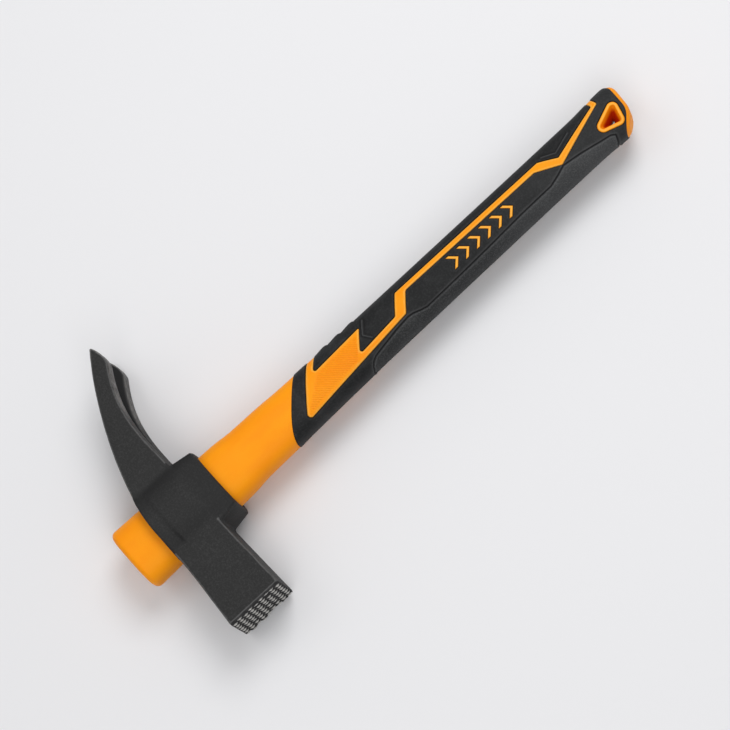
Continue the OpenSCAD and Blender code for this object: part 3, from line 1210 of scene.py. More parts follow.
@dataclass
class MilledFace:
    """The striking face: rows of small pyramids left by two crossed sets of V grooves.

    A point's height is the depth times the smaller of its two distances from the nearest groove of
    each set, over half the grooves' spacing, with the tops of the teeth worn flat.

    Attributes:
        head: the head that the face ends.
        pitch_x: the teeth's pitch along the handle.
        pitch_z: the teeth's pitch across the face.
        land: width of the teeth's flat tops.
        cells: number of grid cells along each side.
        skirt: how far the face's sides run back into the head.
        corner: radius of the face's corners.
        inset: how far its sides stay inside the head's.
    """

    head: ForgedHead
    pitch_x: float = 3.3
    pitch_z: float = 4.2
    land: float = 0.5
    cells: int = 176
    skirt: float = 2.4
    corner: float = 0.8
    inset: float = 0.08

    def teeth(self, p: np.ndarray) -> Tuple[np.ndarray, np.ndarray]:
        """Height of the teeth and how far each point is up its tooth.

        Args:
            p: (..., 2) points on the face from its middle.

        Returns:
            Heights in mm and shares from 0 in a groove to 1 on a tip.
        """
        diagonal = math.hypot(self.pitch_x, self.pitch_z / 2)
        spacing = self.pitch_x * self.pitch_z / diagonal
        angle = math.atan2(self.pitch_z / 2, self.pitch_x)
        shares, labels = [], []
        for side in (-1, 1):
            across = -math.sin(side * angle) * p[..., 0] + math.cos(side * angle) * p[..., 1]
            turn = across / spacing + 0.5
            shares.append(1 - np.abs(2 * (turn - np.floor(turn)) - 1))
            labels.append(np.floor(turn))
        share = np.minimum(*shares)
        # One fixed chance from 0 to 1 for each tooth, scattered by the fraction of a large sine.
        scatter = np.sin(labels[0] * 12.9898 + labels[1] * 78.233) * 43758.5453
        chance = scatter - np.floor(scatter)
        outer = np.abs(p).max(-1) > 0.7 * (self.head.face_d / 2)
        top = 1 - 0.34 * (chance > 0.86) - 0.4 * (chance > 0.93) * outer
        flank = 1 - self.land / spacing
        return self.head.tooth_depth * np.minimum(share / flank, top), np.minimum(share / flank, 1)

    def build(self, steel: bpy.types.Material) -> bpy.types.Object:
        """Makes the face as one closed plate with its sides in the head.

        Args:
            steel: the milled steel.

        Returns:
            The piece.
        """
        half = self.head.face_d / 2 - self.inset
        line = np.linspace(-half, half, self.cells + 1)
        square = np.stack(np.meshgrid(line, line, indexing="ij"), -1)
        past = square - np.clip(square, -half + self.corner, half - self.corner)
        size = np.linalg.norm(past, axis=-1, keepdims=True)
        squeeze = np.abs(past).max(-1, keepdims=True) / np.maximum(size, 1e-9)
        flat = square - past * (1 - np.where(size > 0, squeeze, 1))
        height, share = self.teeth(flat)
        fade = ease((half - np.abs(square).max(-1)) / 0.4 + 0.6)
        ring = np.pad(flat, ((1, 1), (1, 1), (0, 0)), mode="edge")
        sunk = np.pad(np.ones(flat.shape[:2]), 1)
        ring = ring * (0.95 + 0.05 * sunk[..., None])
        height = np.pad(height * fade, 1, constant_values=-self.skirt)
        share = np.pad(share * fade, 1)
        middle = self.head.bench.head_at + self.head.face_d / 2 - self.head.face_lead
        root = -self.head.poll_reach + self.head.tooth_depth
        points = np.stack([middle + ring[..., 0], root - height, ring[..., 1]], -1).reshape(-1, 3)
        count = self.cells + 3
        faces = grid_faces(count, count, False)
        edge = np.arange(count)
        last = count - 1
        sides = [edge * count, last * count + edge[1:], (last - edge[1:]) * count + last, last - edge[1:-1]]
        back = np.concatenate(sides)[None, ::-1]
        layers = {"rise": share.reshape(-1)}
        bench = self.head.bench
        return make_piece("milled_face", bench, points, [faces, back], Slot.STEEL, steel, (), layers)


# ---------------------------------------------------------------- the handle's pieces

# Height above the handle's form and the finish's layers, from places and their depths inside the outline.
Relief = Callable[[np.ndarray, np.ndarray], Tuple[np.ndarray, Layers]]


def roll(t: np.ndarray) -> np.ndarray:
    """A quarter circle's rise: sqrt(1 - (1 - t)^2) with t held between 0 and 1."""
    return np.sqrt(1 - (1 - np.clip(t, 0, 1)) ** 2)


def ridge(distance: np.ndarray, width: float) -> np.ndarray:
    """A bell across a line: exp of minus the square of the distance over the width."""
    return np.exp(-((distance / width) ** 2))


def rubbed(depth: np.ndarray) -> np.ndarray:
    """How much lighter a soft piece is where its rolled edge reaches its full height: rubbed tone and a
    painted highlight on the crest.
    """
    return 0.35 * ridge(depth - 0.7, 0.3)


def painted_edge_highlight(depth: np.ndarray) -> np.ndarray:
    """Painted highlight: how much paler the orange is painted where its rolled edge catches the light."""
    return ridge(depth - 0.45, 0.35)


@dataclass
class Patch:
    """A thin closed piece that lies on the handle inside an outline, the same on the top and underneath.

    Its upper skin is a height above the handle's form at each place, worked out from how deep the
    place lies inside the outline; its lower skin is sunk in the jacket; a wall joins them.

    Attributes:
        form: the handle's form.
        outline: the outline in x and y.
        holes: outlines left out of it.
        spacing: distance between the points of its middle.
        sink: depth of its lower skin.
        border: distance between the points of its outlines.
        rows: how deep the rows of points beside the outlines lie.
        seam: how near a side seam a free point may lie.
    """

    form: HandleForm
    outline: np.ndarray
    holes: Sequence[np.ndarray] = ()
    spacing: float = 0.9
    sink: float = 0.75
    border: float = 0.5
    rows: Tuple[float, ...] = (0.07, 0.2, 0.4)
    seam: float = 0.12

    def __post_init__(self) -> None:
        """Lays the outlines on the skin."""
        self.rings = [self.form.unroll(ring, self.border) for ring in (self.outline, *self.holes)]

    def holds(self, at: np.ndarray) -> np.ndarray:
        """Whether places in x and way lie in the outline and in no hole."""
        inner = [inside(at, ring) for ring in self.rings]
        return inner[0] & ~np.any(inner[1:], axis=0) if len(inner) > 1 else inner[0]

    def depth(self, at: np.ndarray) -> np.ndarray:
        """Distance from each place to the nearest part of the outlines that lies on the skin.

        Args:
            at: (N, 2) places in x and way.

        Returns:
            (N,) distances.
        """
        best = np.full(len(at), np.inf)
        for ring in self.rings:
            ends = np.roll(ring, -1, 0)
            middle = (ring[:, 1] + ends[:, 1]) / 2
            near = np.flatnonzero((middle > -0.3) & (middle < self.form.half_way + 0.3))
            for run in np.split(near, np.flatnonzero(np.diff(near) > 1) + 1):
                if len(run):
                    best = np.minimum(best, line_distance(at, np.vstack([ring[run], ends[run[-1:]]])))
        return best

    def scatter(self, extra: Sequence[np.ndarray]) -> np.ndarray:
        """Free points for the mesh: rows just inside the outlines, an even middle, and the extra ones.

        Args:
            extra: more places where detail needs them.

        Returns:
            (N, 2) places.
        """
        rows = []
        for ring in self.rings:
            way = unit(np.roll(ring, -1, 0) - np.roll(ring, 1, 0))
            normal = np.stack([-way[:, 1], way[:, 0]], -1)
            for inner in self.rows:
                for side in (-1, 1):
                    row = ring + side * inner * normal
                    rows.append(row[self.holds(row) & (np.abs(self.depth(row) - inner) < 0.3 * inner)])
        low, high = self.rings[0].min(0), self.rings[0].max(0)
        step, half_way = self.spacing, self.form.half_way
        x, way = np.meshgrid(np.arange(low[0], high[0], step), np.arange(0.5 * step, half_way, step * 0.87))
        x = x + np.arange(len(x))[:, None] % 2 * step / 2
        middle = self.deeper(np.stack([x.ravel(), way.ravel()], -1), 0.75)
        fine = np.zeros((0, 2))
        if extra:
            fine = self.deeper(np.vstack([*extra]), 0.5)
            taken, own = (np.floor(at / (step * 0.6)).astype(int) @ (100_003, 1) for at in (fine, middle))
            middle = middle[~np.isin(own, taken)]
        free = np.vstack([*rows, middle, fine])
        return free[(free[:, 1] > self.seam) & (free[:, 1] < half_way - self.seam)]

    def deeper(self, at: np.ndarray, least: float) -> np.ndarray:
        """The places that lie in the outline, deeper than so many mm."""
        at = at[self.holds(at)]
        return at[self.depth(at) > least]

    def flat_mesh(self, extra: Sequence[np.ndarray]) -> Tuple[np.ndarray, np.ndarray]:
        """Triangles over the outline's upper half, between the two side seams.

        Args:
            extra: more places where detail needs them.

        Returns:
            Places in x and way, and the triangles.
        """
        verts = [*self.rings]
        edges = []
        start = 0
        for ring in self.rings:
            index = start + np.arange(len(ring))
            edges.append(np.stack([index, np.roll(index, -1)], -1))
            start += len(ring)
        outer = self.rings[0][:, 0]
        reach = np.arange(outer.min() - 1, outer.max() + 1.5, self.spacing)
        seams = (0.0, self.form.half_way)
        for seam in seams:
            verts.append(np.stack([reach, np.full(len(reach), seam)], -1))
            index = start + np.arange(len(reach))
            edges.append(np.stack([index[:-1], index[1:]], -1))
            start += len(reach)
        verts.append(self.scatter(extra))
        corners = [Vector(p) for p in np.vstack(verts).tolist()]
        found = delaunay_2d_cdt(corners, np.vstack(edges).tolist(), [], 0, 1e-5)
        flat = np.array([(p.x, p.y) for p in found[0]])
        triangles = np.array([t for t in found[2] if len(t) == 3])
        for seam in seams:
            flat[np.abs(flat[:, 1] - seam) < 1e-3, 1] = seam
        middle = flat[triangles].mean(1)
        kept = triangles[self.holds(middle) & (middle[:, 1] > 0) & (middle[:, 1] < self.form.half_way)]
        used, kept = np.unique(kept, return_inverse=True)
        kept = kept.reshape(-1, 3)
        flat = flat[used]
        a, b, c = (flat[kept[:, k]] for k in range(3))
        ab, ac = b - a, c - a
        area = ab[:, 0] * ac[:, 1] - ab[:, 1] * ac[:, 0]
        kept[area < 0] = kept[area < 0, ::-1]
        return flat, kept[np.abs(area) > 1e-9]

    def build(
        self,
        name: str,
        relief: Relief,
        slot: Slot,
        material: bpy.types.Material,
        replaced: Sequence[str] = (),
        extra: Sequence[np.ndarray] = (),
    ) -> bpy.types.Object:
        """Makes the piece.

        Args:
            name: the piece's name.
            relief: its height and the finish's layers.
            slot: the record's slot.
            material: the finish.
            replaced: CAD nodes that it stands for.
            extra: more places where detail needs them.

        Returns:
            The piece.
        """
        flat, triangles = self.flat_mesh(extra)
        depth = self.depth(flat)
        height, layers = relief(flat, depth)
        count = len(flat)
        seam = (flat[:, 1] == 0) | (flat[:, 1] == self.form.half_way)
        under = np.where(seam, np.arange(count), 0)
        under[~seam] = count + np.arange((~seam).sum())
        both = np.vstack([triangles[:, ::-1], under[triangles]])
        sides = []
        for grow in (height, np.full(count, -self.sink)):
            top = self.form.skin(flat[:, 0], flat[:, 1], grow)
            sides += [top, top[~seam] * (1, 1, -1)]
        total = len(sides[0]) + len(sides[1])
        edges = np.stack([both, np.roll(both, -1, 1)], -1).reshape(-1, 2)
        key, back = edges[:, 0] * total + edges[:, 1], edges[:, 1] * total + edges[:, 0]
        rim = edges[~np.isin(key, back)]
        wall = np.stack([rim[:, 1], rim[:, 0], rim[:, 0] + total, rim[:, 1] + total], -1)
        made = {key: np.concatenate([at, at[~seam], at, at[~seam]]) for key, at in layers.items()}
        faces = [both, both[:, ::-1] + total, wall]
        return make_piece(name, self.form.bench, np.vstack(sides), faces, slot, material, replaced, made)


def beside(line: np.ndarray, offsets: Sequence[float], step: float) -> np.ndarray:
    """Rows of points beside a polyline, at fixed distances to both sides.

    Args:
        line: the polyline.
        offsets: the distances.
        step: the distance between points along it.

    Returns:
        The points.
    """
    run = resample(line, step, closed=False)
    way = unit(np.gradient(run, axis=0))
    normal = np.stack([-way[:, 1], way[:, 0]], -1)
    return np.vstack([run + side * offset * normal for offset in offsets for side in (-1, 1)])


@dataclass
class Grip:
    """The handle's two-material covering: the hard jacket and the soft pieces let into it.

    The soft pieces stand proud of the jacket with rolled edges. The jacket's raised inlay fills
    the stripe between them and the hatched panel, with a narrow channel along every edge.

    Attributes:
        form: the handle's form.
        proud, foot: height of the soft pieces and of their edges' feet, above the form.
        soft_edge, inlay_edge: widths of the rolled edges.
        inlay_rise: height of the inlay.
        channel: how far the jacket lies below the form under the grip.
        hole_rim, hole_cut: how far the rim's foot and the cut in the jacket stand out of the hole.
        bore, core_span: the core's radius, and where it starts and ends.
        tail_from: where the jacket's last rows start.
        hole, stripe, island, tail, hatch_panel: outlines in x and y with the radius of each corner.
        palm_line, creases: lines in x and way.
        rib_first, rib_pitch: the place of the first scallop, and their pitch.
        hatch_pitch, hatch_turn, hatch_depth: pitch, direction and depth of the hatching.
        mark_first, mark_count, mark_pitch, mark_height, mark_stroke, mark_y: the row of chevrons.
    """

    form: HandleForm
    proud: float = 0.38
    foot: float = -0.12
    soft_edge: float = 0.55
    inlay_rise: float = 0.12
    inlay_edge: float = 0.4
    channel: float = 0.5
    hole_rim: float = 1.9
    hole_cut: float = 0.9
    bore: float = 5.5
    core_span: Tuple[float, float] = (6.0, 287.8)
    tail_from: float = 296.0
    hole: Tuple[Corner, ...] = ((298.8, -3.7, 1.2), (313.2, 2.07, 1.2), (310.6, -7.33, 1.2))
    stripe: Tuple[Corner, ...] = (
        (127, 16, 0), (106, -10.6, 1.5), (174.5, -4.8, 1.5), (181.7, 3.9, 2), (263.5, 2.9, 1.5),
        (276, -3.7, 0.8), (308, 7.2, 1.2), (306.3, 16, 0),
    )
    island: Tuple[Corner, ...] = (
        (132, 16, 0), (123.2, 5, 1), (153.8, 6.4, 0.5), (145.6, -4, 1), (169.6, -2.2, 1.5),
        (177, 6.9, 1.5), (268, 5.9, 1), (277, 0.3, 0.8), (304.8, 8.2, 1), (303.2, 16, 0),
    )
    tail: Tuple[Corner, ...] = (
        (312.8, 16, 0), (317.1, 9, 4), (316.1, -4.8, 9), (300.9, -20, 0), (94, -20, 0),
    )
    palm_line: Tuple[Tuple[float, float], ...] = (
        (144.5, 37.2), (146, 32.0), (148, 29.6), (150.5, 28.3), (156, 27.4), (166, 25.9), (174, 25.2),
        (177, 25.6), (181, 27.1), (184, 27.9), (206, 27.7), (226, 27.2), (246, 26.5), (265, 26.4),
        (271, 24.8), (276, 23.0), (286, 24.6), (296, 26.8), (302, 27.8), (304, 29.1), (302, 37.2),
    )
    creases: Tuple[Tuple[Tuple[float, float], ...], ...] = (
        ((271, 11.9), (277.5, 15.6), (288, 11.9)),
        ((157, 10.2), (152.5, 16.6), (155, 20.4)),
    )
    rib_first: float = 134.5
    rib_pitch: float = 8.3
    hatch_panel: Tuple[Corner, ...] = ((108.8, -8.6, 1), (124.4, 3.5, 1), (150.8, 4.7, 1), (143.4, -5.7, 1.5))
    hatch_pitch: float = 1.05
    hatch_turn: float = math.radians(43)
    hatch_depth: float = 0.3
    mark_first: float = 205.5
    mark_count: int = 6
    mark_pitch: float = 7.0
    mark_height: float = 7.0
    mark_stroke: float = 1.8
    mark_y: float = -1.8

    def front_edge(self) -> np.ndarray:
        """The grip's slanted front edge."""
        return bezier([(94, -16), (96.5, -8), (107, 1.5), (119, 16)], 24)

    def main_outline(self) -> np.ndarray:
        """The long soft piece's outline."""
        return np.vstack([self.front_edge(), rounded((*self.stripe, *self.tail))])

    def hole_outline(self, grow: float = 0.0) -> np.ndarray:
        """The hang hole's outline, moved out by a distance.

        Args:
            grow: the distance, along each point's normal.

        Returns:
            The outline's points.
        """
        ring = resample(rounded(self.hole, 10), 0.35)
        normal = unit(np.roll(ring, -1, 0) - np.roll(ring, 1, 0)) @ np.array([[0.0, -1.0], [1.0, 0.0]])
        middle = ring.mean(0)
        outward = np.sign(((ring - middle) * normal).sum(1, keepdims=True))
        return ring + normal * outward * grow

    def mark_outlines(self) -> List[np.ndarray]:
        """The chevrons' outlines: a plain pointed band, stepped along the handle."""
        point, stroke = self.mark_height / 2, self.mark_stroke
        upper = [(point, 0), (0, point), (stroke, point), (stroke + point, 0)]
        shape = np.array([*upper[1:], (stroke, -point), (0, -point), upper[0]])
        return [shape + (self.mark_first + k * self.mark_pitch, self.mark_y) for k in range(self.mark_count)]

    def rolled(self, depth: np.ndarray) -> np.ndarray:
        """Height of a soft piece: it rolls up from its foot to its full height."""
        return self.foot + (self.proud - self.foot) * roll(depth / self.soft_edge)

    def inlay_rise_at(self, depth: np.ndarray, gap: float = 0.1) -> np.ndarray:
        """The jacket's raised surfaces: up from a channel as wide as the gap, with a rolled edge."""
        return -self.channel + (self.channel + self.inlay_rise) * roll((depth - gap) / self.inlay_edge)

    def jacket(self, plastic: bpy.types.Material) -> bpy.types.Object:
        """The hard jacket, a little lower under the grip, with the core's bore and the hang hole cut out.

        Args:
            plastic: the orange plastic.

        Returns:
            The piece.
        """
        form = self.form
        stub = [np.linspace(0, 0.06, 5)[:-1], np.linspace(0.06, form.stub_edge, 10)[:-1]]
        rows = np.concatenate([*stub, np.arange(form.stub_edge, self.tail_from, 0.9)])
        quarter = np.linspace(0, np.pi / 2, 14)
        tail = np.concatenate([np.linspace(0, 0.86, 20)[:-1], 1 - 0.14 * np.cos(quarter)])
        around = 160
        way = np.arange(around) / around * form.way[-1]
        share = np.interp(way, form.way, form.round_y)
        end = form.butt_at(form.middling[0] * share)
        x = np.vstack([rows[:, None] + 0 * way, self.tail_from + (end - self.tail_from) * tail[:, None]])
        ways = way + 0 * x
        outline = form.unroll(np.vstack([self.front_edge(), rounded(self.tail)]), 1.0)
        folded = np.where(ways > form.half_way, form.way[-1] - ways, ways)
        places = np.stack([x.ravel(), folded.ravel()], -1)
        covered = -outline_distance(places, outline).reshape(x.shape)
        points = form.skin(x, ways, -self.channel * ease((covered - 0.3) / 0.9))
        points[[0, -1]] = form.spot(x[[0, -1]], ways[[0, -1]])
        # The two ends close by rings drawn in to their middles; the butt's rings follow its outline.
        caps = []
        inward = (0.12, 0.35, 0.6, 0.8, 0.93, 0.985)
        for ring in (points[0], points[-1]):
            middle = ring.mean(0)
            caps.append([ring + (middle - ring) * t for t in inward])
        for t, ring in zip(inward, caps[1]):
            ring[:, 0] = form.butt_at(form.middling[0] * share * (1 - t))
        points = np.concatenate([np.stack(caps[0][::-1]), points, np.stack(caps[1])])
        ring = np.arange(around)
        ends = [ring[None], (len(points) - 1) * around + ring[None, ::-1]]
        faces = [grid_faces(len(points), around, True)[:, ::-1], *ends]
        name, nodes = "handle_jacket_shell", ["handle_jacket"]
        piece = make_piece(name, form.bench, points.reshape(-1, 3), faces, Slot.ORANGE, plastic, nodes)
        self.cut(piece, self.hole_outline(self.hole_cut), True, (-20.0, 20.0))
        angle = np.linspace(0, 2 * np.pi, 48, endpoint=False)
        bore = np.stack([np.cos(angle), np.sin(angle)], -1) * self.bore
        self.cut(piece, bore, False, self.core_span)
        return piece

    def cut(
        self, piece: bpy.types.Object, outline: np.ndarray, upright: bool, span: Tuple[float, float]
    ) -> None:
        """Takes a prism out of a piece and keeps the result as its mesh.

        Args:
            piece: the piece to cut.
            outline: the prism's outline, across its axis.
            upright: whether the axis runs along z; otherwise it runs along x.
            span: where the prism starts and ends on the axis.
        """
        count = len(outline)
        ends = []
        for place in span:
            level = np.full((count, 1), place)
            ends.append(np.hstack([outline, level] if upright else [level, outline]))
        points = self.form.bench.place(np.vstack(ends))
        ring = np.arange(count)
        sides = grid_faces(2, count, True)
        mesh = bpy.data.meshes.new("cutter")
        mesh.from_pydata(points.tolist(), [], [*sides.tolist(), ring[::-1].tolist(), (count + ring).tolist()])
        a, b, c = points[sides[0][:3]]
        if np.cross(b - a, c - a) @ ((a + b) / 2 - points.mean(0)) < 0:
            mesh.flip_normals()
        tool = bpy.data.objects.new("cutter", mesh)
        bpy.context.scene.collection.objects.link(tool)
        modifier = piece.modifiers.new("cut", "BOOLEAN")
        modifier.operation = "DIFFERENCE"
        modifier.solver = "EXACT"
        modifier.object = tool
        bpy.context.view_layer.update()
        done = bpy.data.meshes.new_from_object(piece.evaluated_get(bpy.context.evaluated_depsgraph_get()))
        piece.modifiers.clear()
        old = piece.data
        piece.data = done
        bpy.data.objects.remove(tool)
        bpy.data.meshes.remove(old)
        done.name = piece.name

    def soft_main(self, rubber: bpy.types.Material) -> bpy.types.Object:
        """The long soft piece, with the palm panel's groove and coarse grain.

        Args:
            rubber: the soft plastic.

        Returns:
            The piece.
        """
        line = np.asarray(self.palm_line)
        palm = np.vstack([line, [(302, 60), (144.5, 60)]])

        def relief(at: np.ndarray, depth: np.ndarray) -> Tuple[np.ndarray, Layers]:
            """The rolled edge, less the groove, plus its lip; coarse grain on the palm, a tone that grows
            lighter towards the butt, painted highlights and painted shade.

            Args:
                at: places in x and way.
                depth: their depths inside the outline.

            Returns:
                Heights and layers.
            """
            gap = line_distance(at, line)
            outer = np.where(inside(at, palm), -gap, gap)
            panel = ease(0.5 - outer)
            groove = 0.42 * ridge(gap, 0.34)
            lip = 0.16 * ridge(outer - 0.8, 0.4)
            # Lighter towards the butt, more on the palm panel.
            lighter_towards_butt = ease((at[:, 0] - 190) / 110) * (0.22 + 0.42 * panel)
            # Painted highlight on the groove's lip and on the edge's crest, with rubbed tone there; painted
            # shade at the edge's foot and in the groove.
            return self.rolled(depth) - groove + lip - 0.10 * (outer < 0), {
                "panel": panel,
                "wear_and_highlight": 0.8 * ridge(gap - 0.8, 0.36) + rubbed(depth) + lighter_towards_butt,
                "shadow": ridge(depth, 0.3) + ridge(gap, 0.42),
            }

        holes = [self.hole_outline(self.hole_rim), *self.mark_outlines()]
        fine = [beside(line, (0.0, 0.18, 0.36, 0.58, 0.85, 1.2), 0.55)]
        patch = Patch(self.form, self.main_outline(), holes)
        return patch.build("grip_main_skin", relief, Slot.SOFT, rubber, ["grip_main"], fine)

    def soft_island(self, rubber: bpy.types.Material) -> bpy.types.Object:
        """The soft island on the claw's side, with its ribs and raised creases.

        Args:
            rubber: the soft plastic.

        Returns:
            The piece.
        """
        lines = [np.asarray(line) for line in self.creases]
        first, pitch = self.rib_first, self.rib_pitch

        def ribs(at: np.ndarray) -> np.ndarray:
            """Scallops over the side: low swells that each end in a narrow slanted notch.

            Args:
                at: places in x and way.

            Returns:
                Heights, positive on a swell and negative in a notch.
            """
            turn = (at[:, 0] - 0.7 * at[:, 1] - first) / pitch + 1
            share = turn - np.floor(turn)
            notch = 1.15 * ridge((share - 1) * pitch + 0.5, 0.65)
            saw = 0.55 * ease(share / 0.8) - notch - 0.6 * ridge(share * pitch, 0.55)
            return saw * ease((8.5 - at[:, 1]) / 4.0) * ease((turn - 0.1) / 0.2) * ease((3.15 - turn) / 0.15)

        def relief(at: np.ndarray, depth: np.ndarray) -> Tuple[np.ndarray, Layers]:
            """The rolled edge, the scallops, and the creases with a sunk foot beside them, with painted
            highlight on the crests and painted shade at the feet and in the notches.

            Args:
                at: places in x and way.
                depth: their depths inside the outline.

            Returns:
                Heights and layers.
            """
            gap = np.minimum(*(line_distance(at, line) for line in lines))
            scallop = ribs(at)
            foot = ridge(gap - 0.85, 0.4)
            worn = 0.5 * np.clip(2 * scallop - 0.6, 0, 1)
            # Painted highlight on the creases' crests and the edge's crest, lighter on the swells' tops;
            # painted shade at the edge's foot, beside the creases and in the notches.
            return self.rolled(depth) + scallop * ease(depth / 0.8) + 0.26 * ridge(gap, 0.36) - 0.2 * foot, {
                "panel": 0 * depth,
                "wear_and_highlight": 0.9 * ridge(gap, 0.42) + rubbed(depth) + worn,
                "shadow": ridge(depth, 0.3) + foot + np.clip(-1.8 * scallop, 0, 1),
            }

        patch = Patch(self.form, rounded(self.island))
        fine = [beside(line, (0.0, 0.2, 0.4, 0.7, 1.0), 0.5) for line in lines]
        x, way = np.meshgrid(np.arange(124, 165, 0.45), np.arange(0.3, 8, 0.6))
        fine.append(np.stack([x.ravel(), way.ravel()], -1))
        return patch.build("grip_island_skin", relief, Slot.SOFT, rubber, ["grip_island"], fine)

    def inlay(self, plastic: bpy.types.Material) -> bpy.types.Object:
        """The jacket's stripe and its hatched panel.

        Args:
            plastic: the orange plastic.

        Returns:
            The piece.
        """
        panel = self.form.unroll(rounded(self.hatch_panel), 0.5)
        across = np.array([math.sin(self.hatch_turn), -math.cos(self.hatch_turn)])
        along = np.array([math.cos(self.hatch_turn), math.sin(self.hatch_turn)])

        def relief(at: np.ndarray, depth: np.ndarray) -> Tuple[np.ndarray, Layers]:
            """Grooves cut into the panel: half of one minus a cosine across them, and painted shade in them.

            Args:
                at: places in x and way.
                depth: their depths inside the outline.

            Returns:
                Heights and layers.
            """
            room = -outline_distance(at, panel)
            wave = 0.5 - 0.5 * np.cos(2 * np.pi * (at @ across) / self.hatch_pitch)
            cut = wave * ease(room / 0.5 + 0.2)
            # Painted highlight along the rolled edge, and painted shade in the hatching's grooves.
            tones = {"pale": painted_edge_highlight(depth), "groove": 0.20 * cut}
            return self.inlay_rise_at(depth) - self.hatch_depth * cut, tones

        k, j = np.meshgrid(np.arange(-400, 401), np.arange(-90, 91))
        start = panel.mean(0) @ across / self.hatch_pitch
        lattice = (np.round(start) * self.hatch_pitch + k[..., None] * self.hatch_pitch / 4) * across
        lattice = lattice + (panel.mean(0) @ along + j[..., None] * 0.9) * along
        lattice = lattice.reshape(-1, 2)
        lattice = lattice[inside(lattice, panel)]
        patch = Patch(self.form, rounded((*self.stripe, *self.island[::-1])))
        return patch.build("jacket_inlay", relief, Slot.ORANGE, plastic, (), [lattice])

    def marks(self, plastic: bpy.types.Material) -> List[bpy.types.Object]:
        """The raised chevrons.

        Args:
            plastic: the orange plastic.

        Returns:
            The pieces, one for each chevron and its twin underneath.
        """

        def relief(_: np.ndarray, depth: np.ndarray) -> Tuple[np.ndarray, Layers]:
            """The same rise as the inlay, with hardly a channel, and a painted highlight along its edges."""
            tones = {"pale": painted_edge_highlight(depth), "groove": 0 * depth}
            return self.inlay_rise_at(depth + 0.12, 0.02), tones

        patches = [Patch(self.form, ring, spacing=0.5, border=0.3) for ring in self.mark_outlines()]
        return [
            patch.build(f"grip_mark_{k}", relief, Slot.ORANGE, plastic) for k, patch in enumerate(patches, 1)
        ]

    def rim(self, plastic: bpy.types.Material) -> bpy.types.Object:
        """The rim and wall of the hang hole: one profile carried round the hole's outline.

        The profile starts at its outer foot on the top, rolls over the rim, runs down the wall and
        mirrors itself underneath; its last point joins its first inside the jacket.

        Args:
            plastic: the orange plastic.

        Returns:
            The piece.
        """
        wide = self.hole_rim
        profile = [
            (wide - 0.02, -0.9),
            (wide - 0.06, -0.4),
            (wide - 0.14, -0.1),
            (wide - 0.3, 0.1),
            (wide - 0.55, 0.17),
            (1.0, 0.18),
            (0.65, 0.14),
            (0.32, 0.02),
            (0.12, -0.22),
            (0.02, -0.55),
            (0.0, -1.1),
        ]
        rings = []
        for offset, height in profile:
            place = self.form.way_of(self.hole_outline(offset))
            rings.append(self.form.skin(place[:, 0], place[:, 1], np.full(len(place), height)))
        ring = self.hole_outline()
        for narrow, share in ((0.92, 0.85), (0.70, 0.55), (0.36, 0.28), (0.22, 0.06)):
            place = self.form.way_of(ring.mean(0) + (ring - ring.mean(0)) * narrow)
            rings.append(self.form.skin(place[:, 0], place[:, 1], np.zeros(len(place))) * (1, 1, share))
        rings += [ring * (1, 1, -1) for ring in rings[::-1]]
        points = np.stack(rings)
        rows, columns = points.shape[:2]
        faces = grid_faces(rows + 1, columns, True) % (rows * columns)
        width = np.array([p[0] for p in profile] + [-1.0] * (rows // 2 - len(profile)))
        width = np.concatenate([width, width[::-1]])
        # Painted highlight along the rim's top, and painted shade deep in the hole.
        inner = ease((9.2 - np.abs(points[..., 2])) / 4.0) * (width[:, None] < 1)
        layers = {"pale": (ridge(width - 0.9, 0.5)[:, None] + 0 * inner).ravel(), "groove": inner.ravel()}
        points = points.reshape(-1, 3)
        return make_piece("hang_hole_rim", self.form.bench, points, [faces], Slot.ORANGE, plastic, (), layers)


# ---------------------------------------------------------------- floor, light and camera


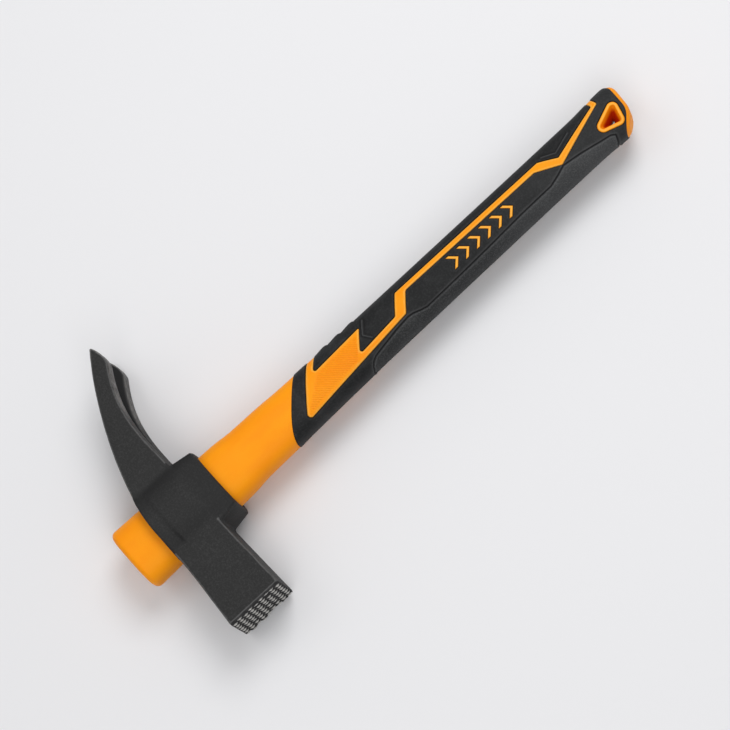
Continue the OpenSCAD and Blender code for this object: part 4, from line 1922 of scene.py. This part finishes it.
@dataclass
class Studio:
    """A pale floor, soft lights and the camera.

    Attributes:
        bench: where the handle's frame lies.
        aim: what the camera looks at, in mm in the handle's frame.
        distance: how far off it stands, in metres.
        height_angle: how high it stands over the floor.
        roll: how far it is turned about its view.
        lens: its focal length in mm.
        floor_half: half the floor's side, in metres.
    """

    bench: Bench
    aim: Corner = (143.8, -6.5, 0.0)
    distance: float = 1.45
    height_angle: float = math.radians(72)
    roll: float = math.radians(43)
    lens: float = 151.2
    floor_half: float = 4.0

    def camera(self) -> bpy.types.Object:
        """A long lens above the palm's side, turned so that the handle runs up to the right.

        Returns:
            The camera.
        """
        back = np.array([0.0, -math.cos(self.height_angle), math.sin(self.height_angle)])
        along = np.array([1.0, 0.0, 0.0])
        over = np.cross(back, along)
        right = math.cos(self.roll) * along - math.sin(self.roll) * over
        up = math.sin(self.roll) * along + math.cos(self.roll) * over
        data = bpy.data.cameras.new("camera")
        data.lens = self.lens
        data.sensor_width = 36.0
        data.clip_start = 0.05
        data.clip_end = 30.0
        camera = bpy.data.objects.new("camera", data)
        bpy.context.scene.collection.objects.link(camera)
        place = self.bench.place(np.asarray(self.aim)) + back * self.distance
        matrix = np.eye(4)
        matrix[:3, 0], matrix[:3, 1], matrix[:3, 2], matrix[:3, 3] = right, up, back, place
        camera.matrix_world = Matrix(matrix.tolist())
        bpy.context.scene.camera = camera
        return camera

    def light(self, name: str, place: Corner, size: float, power: float) -> None:
        """Adds one square white light that faces the hammer's middle.

        Args:
            name: the light's name.
            place: where it stands, in metres.
            size: the length of its side, in metres.
            power: its power in watts.
        """
        data = bpy.data.lights.new(name, "AREA")
        data.shape = "SQUARE"
        data.size = size
        data.energy = power
        lamp = bpy.data.objects.new(name, data)
        lamp.location = place
        lamp.rotation_euler = Vector(place).to_track_quat("Z", "Y").to_euler()
        bpy.context.scene.collection.objects.link(lamp)

    def build(self) -> None:
        """Lays the floor, lights it and sets the view."""
        half = self.floor_half
        mesh = bpy.data.meshes.new("floor")
        corners = [(-half, -half, 0), (half, -half, 0), (half, half, 0), (-half, half, 0)]
        mesh.from_pydata(corners, [], [(0, 1, 2, 3)])
        floor = bpy.data.objects.new("floor", mesh)
        bpy.context.scene.collection.objects.link(floor)
        mesh.materials.append(PaleFloor().build())
        self.camera()
        self.light("key", (0.62, 0.34, 1.15), 0.7, 8.6)
        self.light("fill", (-0.30, -0.70, 1.20), 0.9, 5.2)
        self.light("side", (-0.55, 0.60, 1.35), 0.9, 2.6)
        world = bpy.data.worlds.new("studio")
        world.use_nodes = True
        sky = world.node_tree.nodes["Background"].inputs
        sky["Color"].default_value = (1.0, 1.0, 1.0, 1.0)
        sky["Strength"].default_value = 0.40
        bpy.context.scene.world = world
        bpy.context.scene.view_settings.view_transform = "Standard"


def dress_inner(node: str, material: bpy.types.Material) -> None:
    """Gives a CAD node that stays its finish.

    Args:
        node: the node's name.
        material: the finish.
    """
    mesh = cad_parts[node].data
    mesh.materials.clear()
    mesh.materials.append(material)
    LOG.info("%s: kept, finish %s", node, material.name)


def main() -> None:
    """Builds the hammer piece by piece, then the studio round it."""
    logging.basicConfig(level=logging.INFO, format="%(name)s: %(message)s")
    bench = Bench.from_frame(ForgedHead.face_lead)
    form = HandleForm(bench)
    head = ForgedHead(bench, form)
    head.build(CoatedSteel().build())
    MilledFace(head).build(MilledSteel().build())
    grip = Grip(form)
    orange = OrangePlastic().build()
    rubber = SoftGrip().build()
    grip.jacket(orange)
    grip.inlay(orange)
    grip.marks(orange)
    grip.rim(orange)
    grip.soft_main(rubber)
    grip.soft_island(rubber)
    bond = PlainFill("epoxy_bond", shade(196, 180, 134), shade(168, 150, 104), 1.0)
    dress_inner("eye_bond", bond.build())
    core = PlainFill("fibreglass_core", shade(214, 208, 178), shade(180, 172, 136), 0.05)
    dress_inner("handle_core", core.build())
    Studio(bench).build()


if __name__ == "__main__":
    main()
